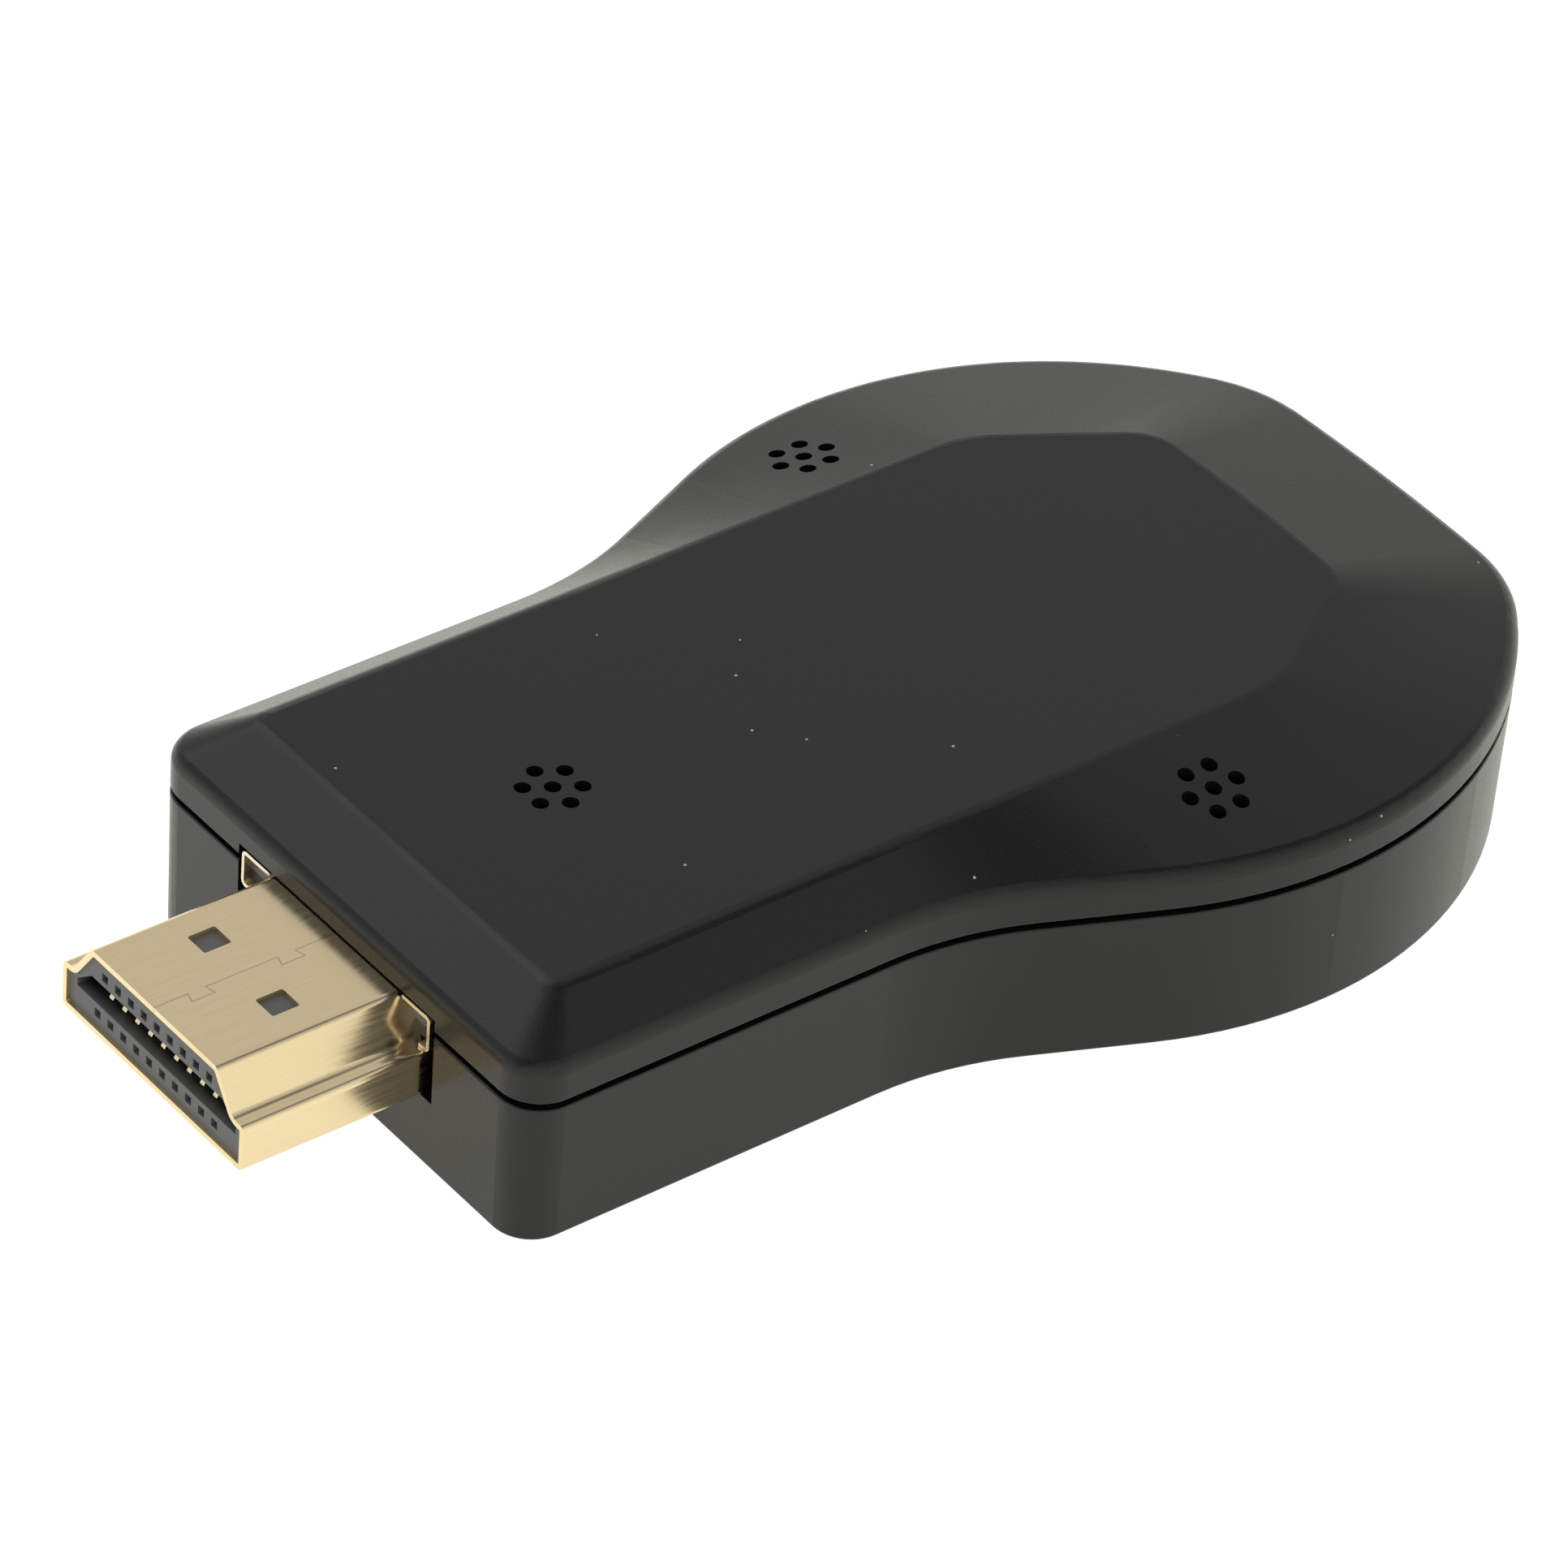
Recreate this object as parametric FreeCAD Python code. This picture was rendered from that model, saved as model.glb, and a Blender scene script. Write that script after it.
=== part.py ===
# Wireless display adapter: a keyhole-shaped plastic case with a display plug at the front.
# Everything is drawn in millimetres with x = 0 on the centre line, y = 0 on the case's front
# face, where the plug comes out, and z = 0 on the underside. Each piece is moved as it is
# written, so that the origin lies at the centre of the whole object's footprint.
import FreeCAD, Part
import math
import os

os.makedirs("parts", exist_ok=True)
V = FreeCAD.Vector

# Case outline, seen from above
stem_half_width = 14.3
stem_length = 19.9
front_corner_r = 2.1
neck_r = 18.2
neck_turn = 23.3
flank_length = 6.0
bulb_r = 22.4
bulb_turn = 53.4
end_corner_r = 8.0
end_crown_turn = 2.9

# Case heights, walls and edges
parting_z = 7.61
parting_gap = 0.33
parting_edge_r = 0.1
rim_z = 9.65
top_z = 11.6
base_draft = 0.1
base_edge_r = 0.2
rim_edge_r = 0.8
case_wall = 1.3
case_floor = 1.2
case_roof = 1.2
rim_roof = 0.95

# Raised flat top, seen from above
top_half_width = 11.4
top_front_y = 3.35
top_corner_r = 0.8
top_least_corner_r = 0.2
top_end_margin = 9.1
top_flank_r = 6.0
top_flank_turn = 30.0
top_flank_length = 6.0
top_end_corner_r = 2.6
top_edge_r = 1.1

# Lip along the parting line, and the snap hooks
lip_thickness = 0.55
lip_root = 0.2
lip_height = 0.75
lip_clearance = 0.06
hook_width = 3.0
hook_thickness = 0.7
hook_gap = 0.1
hook_catch = 0.35
hook_catch_height = 0.5
hook_clearance = 0.06
hook_board_gap = 0.16
hook_catch_below = 0.25
hook_pocket_over = 0.3
hook_front_y = 5.6
hook_middle_y = 17.0

# Vents: three rosettes of seven round holes
vent_hole_r = 0.4
vent_pitch = 1.35
vent_front_y = 11.6
vent_side_x = 15.1
vent_side_back = 4.1
vent_lip_gap = 0.1

# Display plug
plug_reach = 9.65
plug_bottom_z = 3.85
plug_half_width = 6.95
plug_height = 4.45
plug_side_height = 2.5
plug_shoulder_half_width = 6.15
plug_top_half_width = 4.8
plug_wall = 0.3
plug_edge_r = 0.3
plug_rear_y = 5.4
plug_narrow_end_y = 1.5
window_width = 1.35
window_length = 1.45
window_offset_x = 2.6
window_front_gap = 4.0
leg_length = 2.5
leg_bottom = 0.9

# Thin sleeve that opens the plug's rear out to a rectangle
sleeve_wall = 0.2
sleeve_front = 0.05
sleeve_foot = 0.75
sleeve_edge_r = 0.19
sleeve_notch_gap = 0.05

# Plug's insulator and contacts, heights counted from the plug's underside
insulator_recess = 0.2
insulator_collar_y = 0.35
slot_low = 1.5
slot_high = 2.75
slot_half_width = 6.1
slot_top_half_width = 5.0
slot_end_low = 1.9
slot_depth = 7.8
contact_pitch = 1.0
contact_width = 0.3
contact_thickness = 0.16
contact_groove_width = 0.42
contact_hole = 0.45
contact_hole_depth = 1.2
upper_contact_count = 9
lower_contact_count = 10
upper_beam = 3.05
upper_bump = 2.3
lower_beam = 1.25
lower_bump = 1.95
contact_tip_gap = 0.65
contact_bump_length = 0.35
contact_ramp_length = 0.7
contact_tail_length = 2.0
contact_step_back = 0.5
contact_tip_share = 0.8
contact_groove_gap = 0.05
contact_groove_over = 0.1
contact_hole_drop = 0.2

# Main board
board_thickness = 1.0
board_gap = 0.45
board_above_slot = 0.1
board_screw_r = 1.0
board_pilot_r = 0.85
board_screw_hole_r = 1.15
screw_head_r = 1.75
screw_head_height = 1.2
screw_head_round = 0.4
screw_length = 3.6
screw_recess_r = 0.6
screw_recess_depth = 0.6
screw_recess_width = 0.4
boss_r = 2.1
boss_core = 0.3
peg_r = 0.75
peg_hole_r = 0.85
peg_rise = 0.6
peg_shoulder_r = 1.4
post_r = 1.6
post_hole_r = 0.9
post_hole_above = 0.2
post_wall_gap = 0.05
front_screw_y = 12.0
rear_screw_y = 24.5
side_screw_inset = 3.9
end_screw_back = 11.2
peg_x = 10.4
peg_back = 8.5
saddle_width = 9.0
saddle_length = 1.2
saddle_front_y = 2.0
saddle_pitch = 2.0
plug_rib_y = 3.2
plug_rib_length = 0.9

# Opening for the plug in the case's front
plug_opening_gap = 0.3
plug_opening_below = 0.15
plug_opening_above = 0.1

# Power socket at the far end
socket_recess = 0.5
socket_depth = 5.6
socket_half_width = 3.75
socket_low_half_width = 2.75
socket_height = 2.5
socket_chamfer_height = 1.1
socket_wall = 0.25
socket_gap = 0.25
socket_opening_depth = 3.6
socket_block_length = 1.5
tongue_half_width = 1.85
tongue_low = 1.45
tongue_thickness = 0.6
tongue_recess = 0.9
socket_contact_count = 5
socket_contact_pitch = 0.65
socket_contact_width = 0.25
socket_contact_thickness = 0.12
socket_tail_length = 0.8
socket_leg_length = 1.2
socket_leg_front = 3.0
socket_leg_lap = 0.3
socket_contact_setback = 0.3
socket_bend_gap = 0.1
slot_clearance = 0.1

# Status lamp and its light pipe
lamp_x = -5.6
lamp_width = 1.6
lamp_length = 0.8
lamp_height = 0.7
pipe_lift = 0.1
pipe_height = 0.95
pipe_length = 3.0
pipe_gap = 0.05
pipe_clearance = 0.06
pipe_flange = 0.35
pipe_flange_length = 0.4
pipe_end_setback = 0.15
pipe_flange_setback = 0.25

# Mode button on the left side, and the switch behind it
button_y = 11.6
button_length = 4.6
button_height = 1.6
button_proud = 0.35
button_clearance = 0.12
button_flange_side = 0.8
button_flange_below = 0.5
button_flange_thickness = 0.7
button_wall_gap = 0.05
button_travel = 0.25
button_stop_gap = 0.1
switch_length = 4.7
switch_depth = 3.5
switch_height = 1.65
switch_wall = 0.3
switch_cavity_half = 1.3
plunger_half = 0.9
plunger_shoulder_half = 1.2
plunger_height = 0.9
plunger_shoulder_length = 0.6
switch_gap = 0.08
switch_cover_sheet = 0.15
dome_thickness = 0.1
dome_rise = 0.5
dome_gap = 0.08
plunger_shoulder_gap = 0.02

# Parts on the board: width across, length along and height
processor_size = V(13.0, 13.0, 1.2)
processor_y = 20.0
pad_thickness = 0.8
heat_sink_size = V(16.0, 16.0, 0.9)
fin_count = 7
fin_thickness = 0.8
fin_height = 0.6
memory_size = V(7.5, 10.0, 1.0)
memory_x = 4.6
memory_back = 6.0
flash_size = V(5.3, 5.2, 1.6)
flash_place = V(2.5, 24.0, 0)
flash_lead_count = 4
flash_lead_pitch = 1.27
flash_lead_size = V(1.2, 0.4, 0.25)
module_size = V(11.0, 11.0, 0.8)
module_x = 8.4
module_ahead = 5.0
can_inset = 0.5
can_height = 1.6
can_wall = 0.2
radio_chip_size = V(6.0, 6.0, 0.8)
antenna_wall_gap = 2.48
antenna_width = 2.6
antenna_length = 12.0
antenna_back = 3.0
antenna_rise = 1.7
antenna_sheet = 0.2
antenna_leg = 1.0
crystal_size = V(3.2, 2.5, 0.8)
crystal_place = V(0.2, 2.0, 0)
inductor_size = V(4.0, 4.0, 2.0)
inductor_place = V(-8.4, 3.4, 0)
bulk_capacitor_size = V(3.5, 2.8, 1.9)
bulk_capacitor_x = -7.6
bulk_capacitor_ahead = 8.6
bulk_capacitor_pitch = 3.5
regulator_size = V(3.0, 1.75, 1.1)
regulator_place = V(-3.6, 4.4, 0)
filter_size = V(2.4, 1.0, 0.6)
filter_count = 4
filter_pitch = 3.0
filter_gap = 1.2
chip_capacitor_size = V(1.0, 0.5, 0.5)
chip_resistor_size = V(1.0, 0.5, 0.35)
chip_pitch = 1.8
chip_row_gap = 0.9
chip_capacitor_count = 6
chip_resistor_count = 5

# Values that follow from the sizes above
slot_middle_z = plug_bottom_z + (slot_low + slot_high) / 2
board_bottom_z = slot_middle_z + board_above_slot - board_thickness / 2
board_top_z = board_bottom_z + board_thickness


def direction(degrees):
    """Unit vector in the XY plane at this heading from +X."""
    return V(math.cos(math.radians(degrees)), math.sin(math.radians(degrees)), 0)


def turn_arc(start, heading, radius, turn):
    """Middle and end of an arc that leaves start at heading and turns left by turn degrees."""
    side = 1 if turn > 0 else -1
    centre = start + direction(heading + 90 * side) * radius
    middle = centre + direction(heading - 90 * side + turn / 2) * radius
    end = centre + direction(heading - 90 * side + turn) * radius
    return middle, end


def add_arc(pieces, heading, radius, turn):
    """Append a tangent arc to the list of outline pieces and return the new heading."""
    start = pieces[-1][2]
    middle, end = turn_arc(start, heading, radius, turn)
    pieces.append((start, middle, end))
    return heading + turn


def add_line(pieces, end):
    """Append a straight piece that ends at this point."""
    pieces.append((pieces[-1][2], None, end))


def crown_of(pieces):
    """Middle of the shallow arc that joins the outline's two halves at the far end."""
    last = pieces[-1][2]
    rise = last.x * math.tan(math.radians(end_crown_turn / 2))
    return V(0, last.y + rise, 0)


def case_outline(inset):
    """Right half of the keyhole outline, moved inwards by inset, from the front corner on."""
    side_x = stem_half_width - inset
    corner = V(stem_half_width - front_corner_r, inset, 0)
    middle, end = turn_arc(corner, 0, front_corner_r - inset, 90)
    pieces = [(corner, middle, end)]
    add_line(pieces, V(side_x, stem_length, 0))
    heading = add_arc(pieces, 90, neck_r + inset, -neck_turn)
    add_line(pieces, pieces[-1][2] + direction(heading) * flank_length)
    heading = add_arc(pieces, heading, bulb_r - inset, neck_turn)
    heading = add_arc(pieces, heading, bulb_r - inset, bulb_turn / 2)
    heading = add_arc(pieces, heading, bulb_r - inset, bulb_turn / 2)
    add_arc(pieces, heading, end_corner_r - inset, 90 - bulb_turn - end_crown_turn)
    return pieces, crown_of(pieces)


case_pieces, case_crown = case_outline(0)
case_length = case_crown.y
bulb_y = case_pieces[4][2].y
middle_y = (case_length - plug_reach) / 2
socket_face_y = case_length - socket_recess


def add_top_end(pieces, inset):
    """Append the raised top's far corner: a slanted side between two arcs."""
    heading = add_arc(pieces, 90, top_flank_r - inset, top_flank_turn)
    add_line(pieces, pieces[-1][2] + direction(heading) * top_flank_length)
    add_arc(pieces, heading, top_end_corner_r - inset, 90 - top_flank_turn - end_crown_turn)


top_end = [(None, None, V(top_half_width, 0, 0))]
add_top_end(top_end, 0)
top_side_end_y = case_length - top_end_margin - crown_of(top_end).y


def top_outline(inset):
    """Right half of the raised top's outline, with as many pieces as the case's outline."""
    side_x = top_half_width - inset
    corner_r = max(top_corner_r - inset, top_least_corner_r)
    corner = V(side_x - corner_r, top_front_y + inset, 0)
    middle, end = turn_arc(corner, 0, corner_r, 90)
    pieces = [(corner, middle, end)]
    for mark in (1, 2, 3):
        add_line(pieces, V(side_x, case_pieces[mark][2].y, 0))
    add_line(pieces, V(side_x, top_side_end_y, 0))
    add_top_end(pieces, inset)
    return pieces, crown_of(pieces)


def outline_wire(outline, z):
    """Closed wire at height z from the right half of an outline and its mirror image."""
    pieces, crown = outline
    up = V(0, 0, z)

    def edge(start, middle, end):
        if middle is None:
            return Part.makeLine(start + up, end + up)
        return Part.Arc(start + up, middle + up, end + up).toShape()

    def mirrored(point):
        return None if point is None else V(-point.x, point.y, 0)

    first = pieces[0][0]
    last = pieces[-1][2]
    edges = [edge(mirrored(first), None, first)]
    edges += [edge(start, middle, end) for start, middle, end in pieces]
    edges.append(edge(last, crown, mirrored(last)))
    for start, middle, end in reversed(pieces):
        edges.append(edge(mirrored(end), mirrored(middle), mirrored(start)))
    return Part.Wire(edges)


def case_prism(inset, low, high):
    """Upright solid inside the case's outline, between two heights."""
    return Part.Face(outline_wire(case_outline(inset), low)).extrude(V(0, 0, high - low))


def block(low, high):
    """Box between two opposite corners."""
    size = high - low
    return Part.makeBox(size.x, size.y, size.z, low)


def centred_block(x, y, size, low_z):
    """Box of the given size that stands at low_z with its middle at x and y."""
    return Part.makeBox(size.x, size.y, size.z, V(x - size.x / 2, y - size.y / 2, low_z))


def upright_cylinder(x, y, radius, low, high):
    """Upright cylinder between two heights."""
    return Part.makeCylinder(radius, high - low, V(x, y, low))


def joined(solids):
    """One solid fused from several that meet or overlap."""
    first, *others = solids
    return first.multiFuse(others) if others else first


def edges_at(solid, z):
    """Edges that lie at one height."""
    return [e for e in solid.Edges if all(abs(v.Z - z) < 1e-4 for v in e.Vertexes)]


def ribbon(path, thickness, width, x):
    """Strip of sheet metal that follows a path of y and z, thickened to the path's left."""
    normals = []
    for start, end in zip(path, path[1:]):
        run = (end - start).normalize()
        normals.append(V(0, -run.z, run.y))
    offsets = [normals[0]]
    for before, after in zip(normals, normals[1:]):
        offsets.append((before + after) * (1 / (1 + before.dot(after))))
    offsets.append(normals[-1])
    outer = [point + offset * thickness for point, offset in zip(path, offsets)]
    ring = path + outer[::-1] + path[:1]
    face = Part.Face(Part.makePolygon([V(x - width / 2, p.y, p.z) for p in ring]))
    return face.extrude(V(width, 0, 0))


def row(count, pitch):
    """Evenly spaced places about zero."""
    return [(index - (count - 1) / 2) * pitch for index in range(count)]


def write(node, solids):
    """Move a piece to the object's own origin and write it."""
    shape = solids[0] if len(solids) == 1 else Part.makeCompound(solids)
    placed = shape.copy()
    placed.translate(V(0, -middle_y, 0))
    placed.exportStep("parts/" + node + ".step")


def plug_face(inset, y):
    """Upright face with the plug's six-cornered section, moved inwards by inset."""
    right = [
        V(plug_half_width, y, 0),
        V(plug_half_width, y, plug_side_height),
        V(plug_shoulder_half_width, y, plug_side_height),
        V(plug_top_half_width, y, plug_height),
    ]
    left = [V(-p.x, p.y, p.z) for p in reversed(right)]
    points = [p + V(0, 0, plug_bottom_z) for p in right + left]
    wire = Part.makePolygon(points + points[:1])
    if inset:
        wire = wire.makeOffset2D(-inset, 2)
    return Part.Face(wire)


def plug_prism(inset, front_y, rear_y):
    """Solid with the plug's section between two places along the plug."""
    return plug_face(inset, front_y).extrude(V(0, rear_y - front_y, 0))


def plug_block(half_x_low, half_x_high, y_low, y_high, low, high):
    """Pair of boxes, left and right, with heights counted from the plug's underside."""
    z_low = plug_bottom_z + low
    z_high = plug_bottom_z + high
    right = block(V(half_x_low, y_low, z_low), V(half_x_high, y_high, z_high))
    left = block(V(-half_x_high, y_low, z_low), V(-half_x_low, y_high, z_high))
    return [right, left]


def plug_bar(half_x, y_low, y_high, low, high):
    """Box across the centre line, with heights counted from the plug's underside."""
    low_corner = V(-half_x, y_low, plug_bottom_z + low)
    return block(low_corner, V(half_x, y_high, plug_bottom_z + high))


# Places of the screws, the locating pegs and the snap hooks
screw_places = [
    V(stem_half_width - side_screw_inset, front_screw_y, 0),
    V(side_screw_inset - stem_half_width, rear_screw_y, 0),
    V(0, case_length - end_screw_back, 0),
]
peg_places = [V(peg_x * side, bulb_y - peg_back, 0) for side in (1, -1)]
bulb_half_width = case_pieces[4][2].x
hook_places = []
for side in (1, -1):
    hook_places.append((side, stem_half_width, hook_front_y))
    hook_places.append((side, stem_half_width, hook_middle_y))
    hook_places.append((side, bulb_half_width, bulb_y))

lip_top_z = parting_z + lip_height
lower_top_z = parting_z - parting_gap / 2
upper_bottom_z = parting_z + parting_gap / 2
hook_low_z = board_top_z + hook_board_gap
catch_top_z = lower_top_z - hook_catch_below


def hook_box(side, wall_x, y, inset_low, inset_high, half_length, low, high):
    """Box beside a case wall, between two insets from the wall's outer face."""
    near = side * (wall_x - inset_low)
    far = side * (wall_x - inset_high)
    low_corner = V(min(near, far), y - half_length, low)
    return block(low_corner, V(max(near, far), y + half_length, high))


def plug_opening():
    """Space that both case halves leave for the plug and its sleeve."""
    half = plug_half_width + sleeve_wall + plug_opening_gap
    low = V(-half, -1, plug_bottom_z - plug_opening_below)
    return block(low, V(half, case_wall + 1, plug_bottom_z + plug_height + plug_opening_above))


def socket_opening():
    """Space that both case halves leave for the power socket."""
    half = socket_half_width + socket_gap
    low = V(-half, case_length - socket_opening_depth, board_top_z - socket_gap)
    return block(low, V(half, case_length + 1, board_top_z + socket_height + socket_gap))


def pipe_section(grow, y_low, y_high):
    """Bar of the light pipe's section, made larger by grow, between two places along y."""
    low_z = board_top_z + pipe_lift - grow
    low = V(lamp_x - lamp_width / 2 - grow, y_low, low_z)
    return block(low, V(lamp_x + lamp_width / 2 + grow, y_high, low_z + pipe_height + 2 * grow))


button_z = board_bottom_z - switch_height / 2


def button_bar(grow, x_low, x_high):
    """Bar with the button's round-ended section between two places along x."""
    half_height = button_height / 2 + grow
    half_straight = button_length / 2 - button_height / 2
    low = V(x_low, button_y - half_straight, button_z - half_height)
    bar = block(low, V(x_high, button_y + half_straight, button_z + half_height))
    ends = []
    for side in (-1, 1):
        centre = V(x_low, button_y + side * half_straight, button_z)
        ends.append(Part.makeCylinder(half_height, x_high - x_low, centre, V(1, 0, 0)))
    return joined([bar] + ends)


def vent_holes():
    """Three rosettes: one on the flat top and one on each shoulder."""
    groups = [
        (0, vent_front_y, 0),
        (vent_side_x, bulb_y - vent_side_back, 90),
        (-vent_side_x, bulb_y - vent_side_back, 90),
    ]
    holes = []
    for x, y, first_angle in groups:
        places = [V(x, y, 0)]
        for step in range(6):
            places.append(V(x, y, 0) + direction(first_angle + 60 * step) * vent_pitch)
        for place in places:
            low = lip_top_z + vent_lip_gap
            holes.append(upright_cylinder(place.x, place.y, vent_hole_r, low, top_z + 1))
    return holes


def make_lower_shell():
    """Lower half of the case: a tray with the bosses, pegs and saddle that carry the inside."""
    foot = outline_wire(case_outline(base_draft), 0)
    mouth = outline_wire(case_outline(0), lower_top_z)
    outer = Part.makeLoft([foot, mouth], True, True)
    outer = outer.makeFillet(base_edge_r, edges_at(outer, 0))
    outer = outer.makeFillet(parting_edge_r, edges_at(outer, lower_top_z))
    hollow = case_prism(case_wall, case_floor, lip_top_z + 1)
    lip_outer = case_prism(case_wall - lip_thickness, lower_top_z - lip_root, lip_top_z)
    tray = joined([outer, lip_outer]).cut(hollow)

    added = []
    for place in screw_places:
        added.append(upright_cylinder(place.x, place.y, boss_r, case_floor / 2, board_bottom_z))
    for place in peg_places:
        added.append(upright_cylinder(place.x, place.y, peg_shoulder_r, case_floor / 2, board_bottom_z))
        added.append(upright_cylinder(place.x, place.y, peg_r, case_floor / 2, board_top_z + peg_rise))
    for step in (0, 1):
        y = saddle_front_y + step * saddle_pitch
        low = V(-saddle_width / 2, y, case_floor / 2)
        added.append(block(low, V(saddle_width / 2, y + saddle_length, plug_bottom_z)))
    tray = joined([tray] + added)

    removed = [plug_opening(), socket_opening()]
    removed.append(pipe_section(pipe_clearance, case_length - case_wall - 1, case_length + 1))
    outside_x = -stem_half_width - 1
    inside_x = -stem_half_width + case_wall + 0.01
    removed.append(button_bar(button_clearance, outside_x, inside_x))
    for place in screw_places:
        low = case_floor + boss_core
        removed.append(upright_cylinder(place.x, place.y, board_pilot_r, low, board_bottom_z + 1))
    for side, wall_x, y in hook_places:
        low = catch_top_z - hook_catch_height - hook_clearance * 2
        deep = case_wall - hook_catch - hook_clearance
        half = hook_width / 2 + 2 * hook_clearance
        past = case_wall + hook_pocket_over
        removed.append(hook_box(side, wall_x, y, deep, past, half, low, catch_top_z))
    return tray.cut(Part.makeCompound(removed))


def make_upper_shell():
    """Upper half of the case: a low band, sloping shoulders and the raised flat top."""
    band = case_prism(0, upper_bottom_z, rim_z)
    rim = outline_wire(case_outline(0), rim_z)
    slope = Part.makeLoft([rim, outline_wire(top_outline(0), top_z)], True, True)
    outer = band.fuse(slope)
    outer = outer.makeFillet(top_edge_r, edges_at(outer, top_z))
    outer = outer.makeFillet(rim_edge_r, edges_at(outer, rim_z))
    outer = outer.makeFillet(parting_edge_r, edges_at(outer, upper_bottom_z))

    inner_rim_z = rim_z - rim_roof
    hollow = case_prism(case_wall, upper_bottom_z - 1, inner_rim_z)
    inner_rim = outline_wire(case_outline(case_wall), inner_rim_z)
    inner_top = outline_wire(top_outline(case_wall), top_z - case_roof)
    hollow_slope = Part.makeLoft([inner_rim, inner_top], True, True)
    rebate = case_prism(case_wall - lip_thickness - lip_clearance, upper_bottom_z - 1, lip_top_z)
    cover = outer.cut(hollow.fuse(hollow_slope)).cut(rebate)

    added = []
    for place in peg_places:
        added.append(upright_cylinder(place.x, place.y, post_r, board_top_z, top_z))
    rib_low = V(-saddle_width / 2, plug_rib_y, plug_bottom_z + plug_height)
    added.append(block(rib_low, V(saddle_width / 2, plug_rib_y + plug_rib_length, top_z)))
    arm_low = case_wall + hook_gap
    for side, wall_x, y in hook_places:
        arm_high = arm_low + hook_thickness
        half = hook_width / 2
        added.append(hook_box(side, wall_x, y, arm_low, arm_high, half, hook_low_z, top_z))
        catch_high = catch_top_z - hook_clearance
        catch_low = catch_high - hook_catch_height
        catch_out = case_wall - hook_catch
        added.append(hook_box(side, wall_x, y, catch_out, arm_high, half, catch_low, catch_high))
    tall = case_prism(post_wall_gap, board_top_z, upper_bottom_z)
    kept = outer.fuse(tall)
    cover = cover.fuse(joined(added).common(kept))

    removed = [plug_opening(), socket_opening()] + vent_holes()
    for place in peg_places:
        low = board_top_z - 1
        high = board_top_z + peg_rise + post_hole_above
        removed.append(upright_cylinder(place.x, place.y, post_hole_r, low, high))
    return cover.cut(Part.makeCompound(removed))


def make_main_board():
    """Circuit board: the case's outline inside a clearance, cut off behind the plug."""
    board = case_prism(case_wall + board_gap, board_bottom_z, board_top_z)
    front = V(-stem_half_width, -1, board_bottom_z - 1)
    removed = [block(front, V(stem_half_width, plug_rear_y, board_top_z + 1))]
    for place in screw_places:
        low = board_bottom_z - 1
        removed.append(upright_cylinder(place.x, place.y, board_screw_hole_r, low, board_top_z + 1))
    for place in peg_places:
        low = board_bottom_z - 1
        removed.append(upright_cylinder(place.x, place.y, peg_hole_r, low, board_top_z + 1))
    leg_out = plug_half_width + slot_clearance
    leg_in = plug_half_width - plug_wall - slot_clearance
    leg_end = plug_rear_y + leg_length + slot_clearance
    for side in (1, -1):
        near = min(side * leg_in, side * leg_out)
        far = max(side * leg_in, side * leg_out)
        low = V(near, plug_rear_y - 1, board_bottom_z - 1)
        removed.append(block(low, V(far, leg_end, board_top_z + 1)))
        socket_in = socket_half_width - socket_wall - slot_clearance
        socket_out = socket_half_width + slot_clearance
        near = min(side * socket_in, side * socket_out)
        far = max(side * socket_in, side * socket_out)
        leg_back = socket_face_y - socket_leg_front - socket_leg_length - slot_clearance
        low = V(near, leg_back, board_bottom_z - 1)
        high = V(far, socket_face_y - socket_leg_front + slot_clearance, board_top_z + 1)
        removed.append(block(low, high))
    return board.cut(Part.makeCompound(removed))


def make_board_screws():
    """Three pan-head screws through the board into the lower shell's bosses."""
    screws = []
    for place in screw_places:
        tip_z = board_top_z - screw_length
        shank = upright_cylinder(place.x, place.y, board_screw_r, tip_z, board_top_z)
        head_top_z = board_top_z + screw_head_height
        head = upright_cylinder(place.x, place.y, screw_head_r, board_top_z, head_top_z)
        head = head.makeFillet(screw_head_round, edges_at(head, head_top_z))
        recess_low = head_top_z - screw_recess_depth
        along = V(2 * screw_recess_r, screw_recess_width, 2 * screw_recess_depth)
        across = V(along.y, along.x, along.z)
        arms = [centred_block(place.x, place.y, size, recess_low) for size in (along, across)]
        screws.append(joined([shank, head]).cut(joined(arms)))
    return screws


def make_plug_shell():
    """Plug's formed metal shell, with latch windows and two legs into the board."""
    front_y = -plug_reach
    outer = plug_prism(0, front_y, plug_rear_y)
    long_edges = [e for e in outer.Edges if abs(e.Length - (plug_rear_y - front_y)) < 1e-4]
    outer = outer.makeFillet(plug_edge_r, long_edges)
    shell = outer.cut(plug_prism(plug_wall, front_y - 1, plug_rear_y + 1))
    wide = plug_half_width + 1
    shell = shell.cut(plug_bar(wide, plug_narrow_end_y, plug_rear_y + 1, plug_side_height, 9))
    window_y = front_y + window_front_gap
    for side in (1, -1):
        size = V(window_width, window_length, plug_height + 2)
        x = side * window_offset_x
        shell = shell.cut(centred_block(x, window_y + window_length / 2, size, plug_bottom_z - 1))
    inner_x = plug_half_width - plug_wall
    leg_high = plug_side_height - plug_edge_r
    leg_end_y = plug_rear_y + leg_length
    legs = plug_block(inner_x, plug_half_width, plug_rear_y - 1, leg_end_y, leg_bottom, leg_high)
    return joined([shell] + legs)


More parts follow.
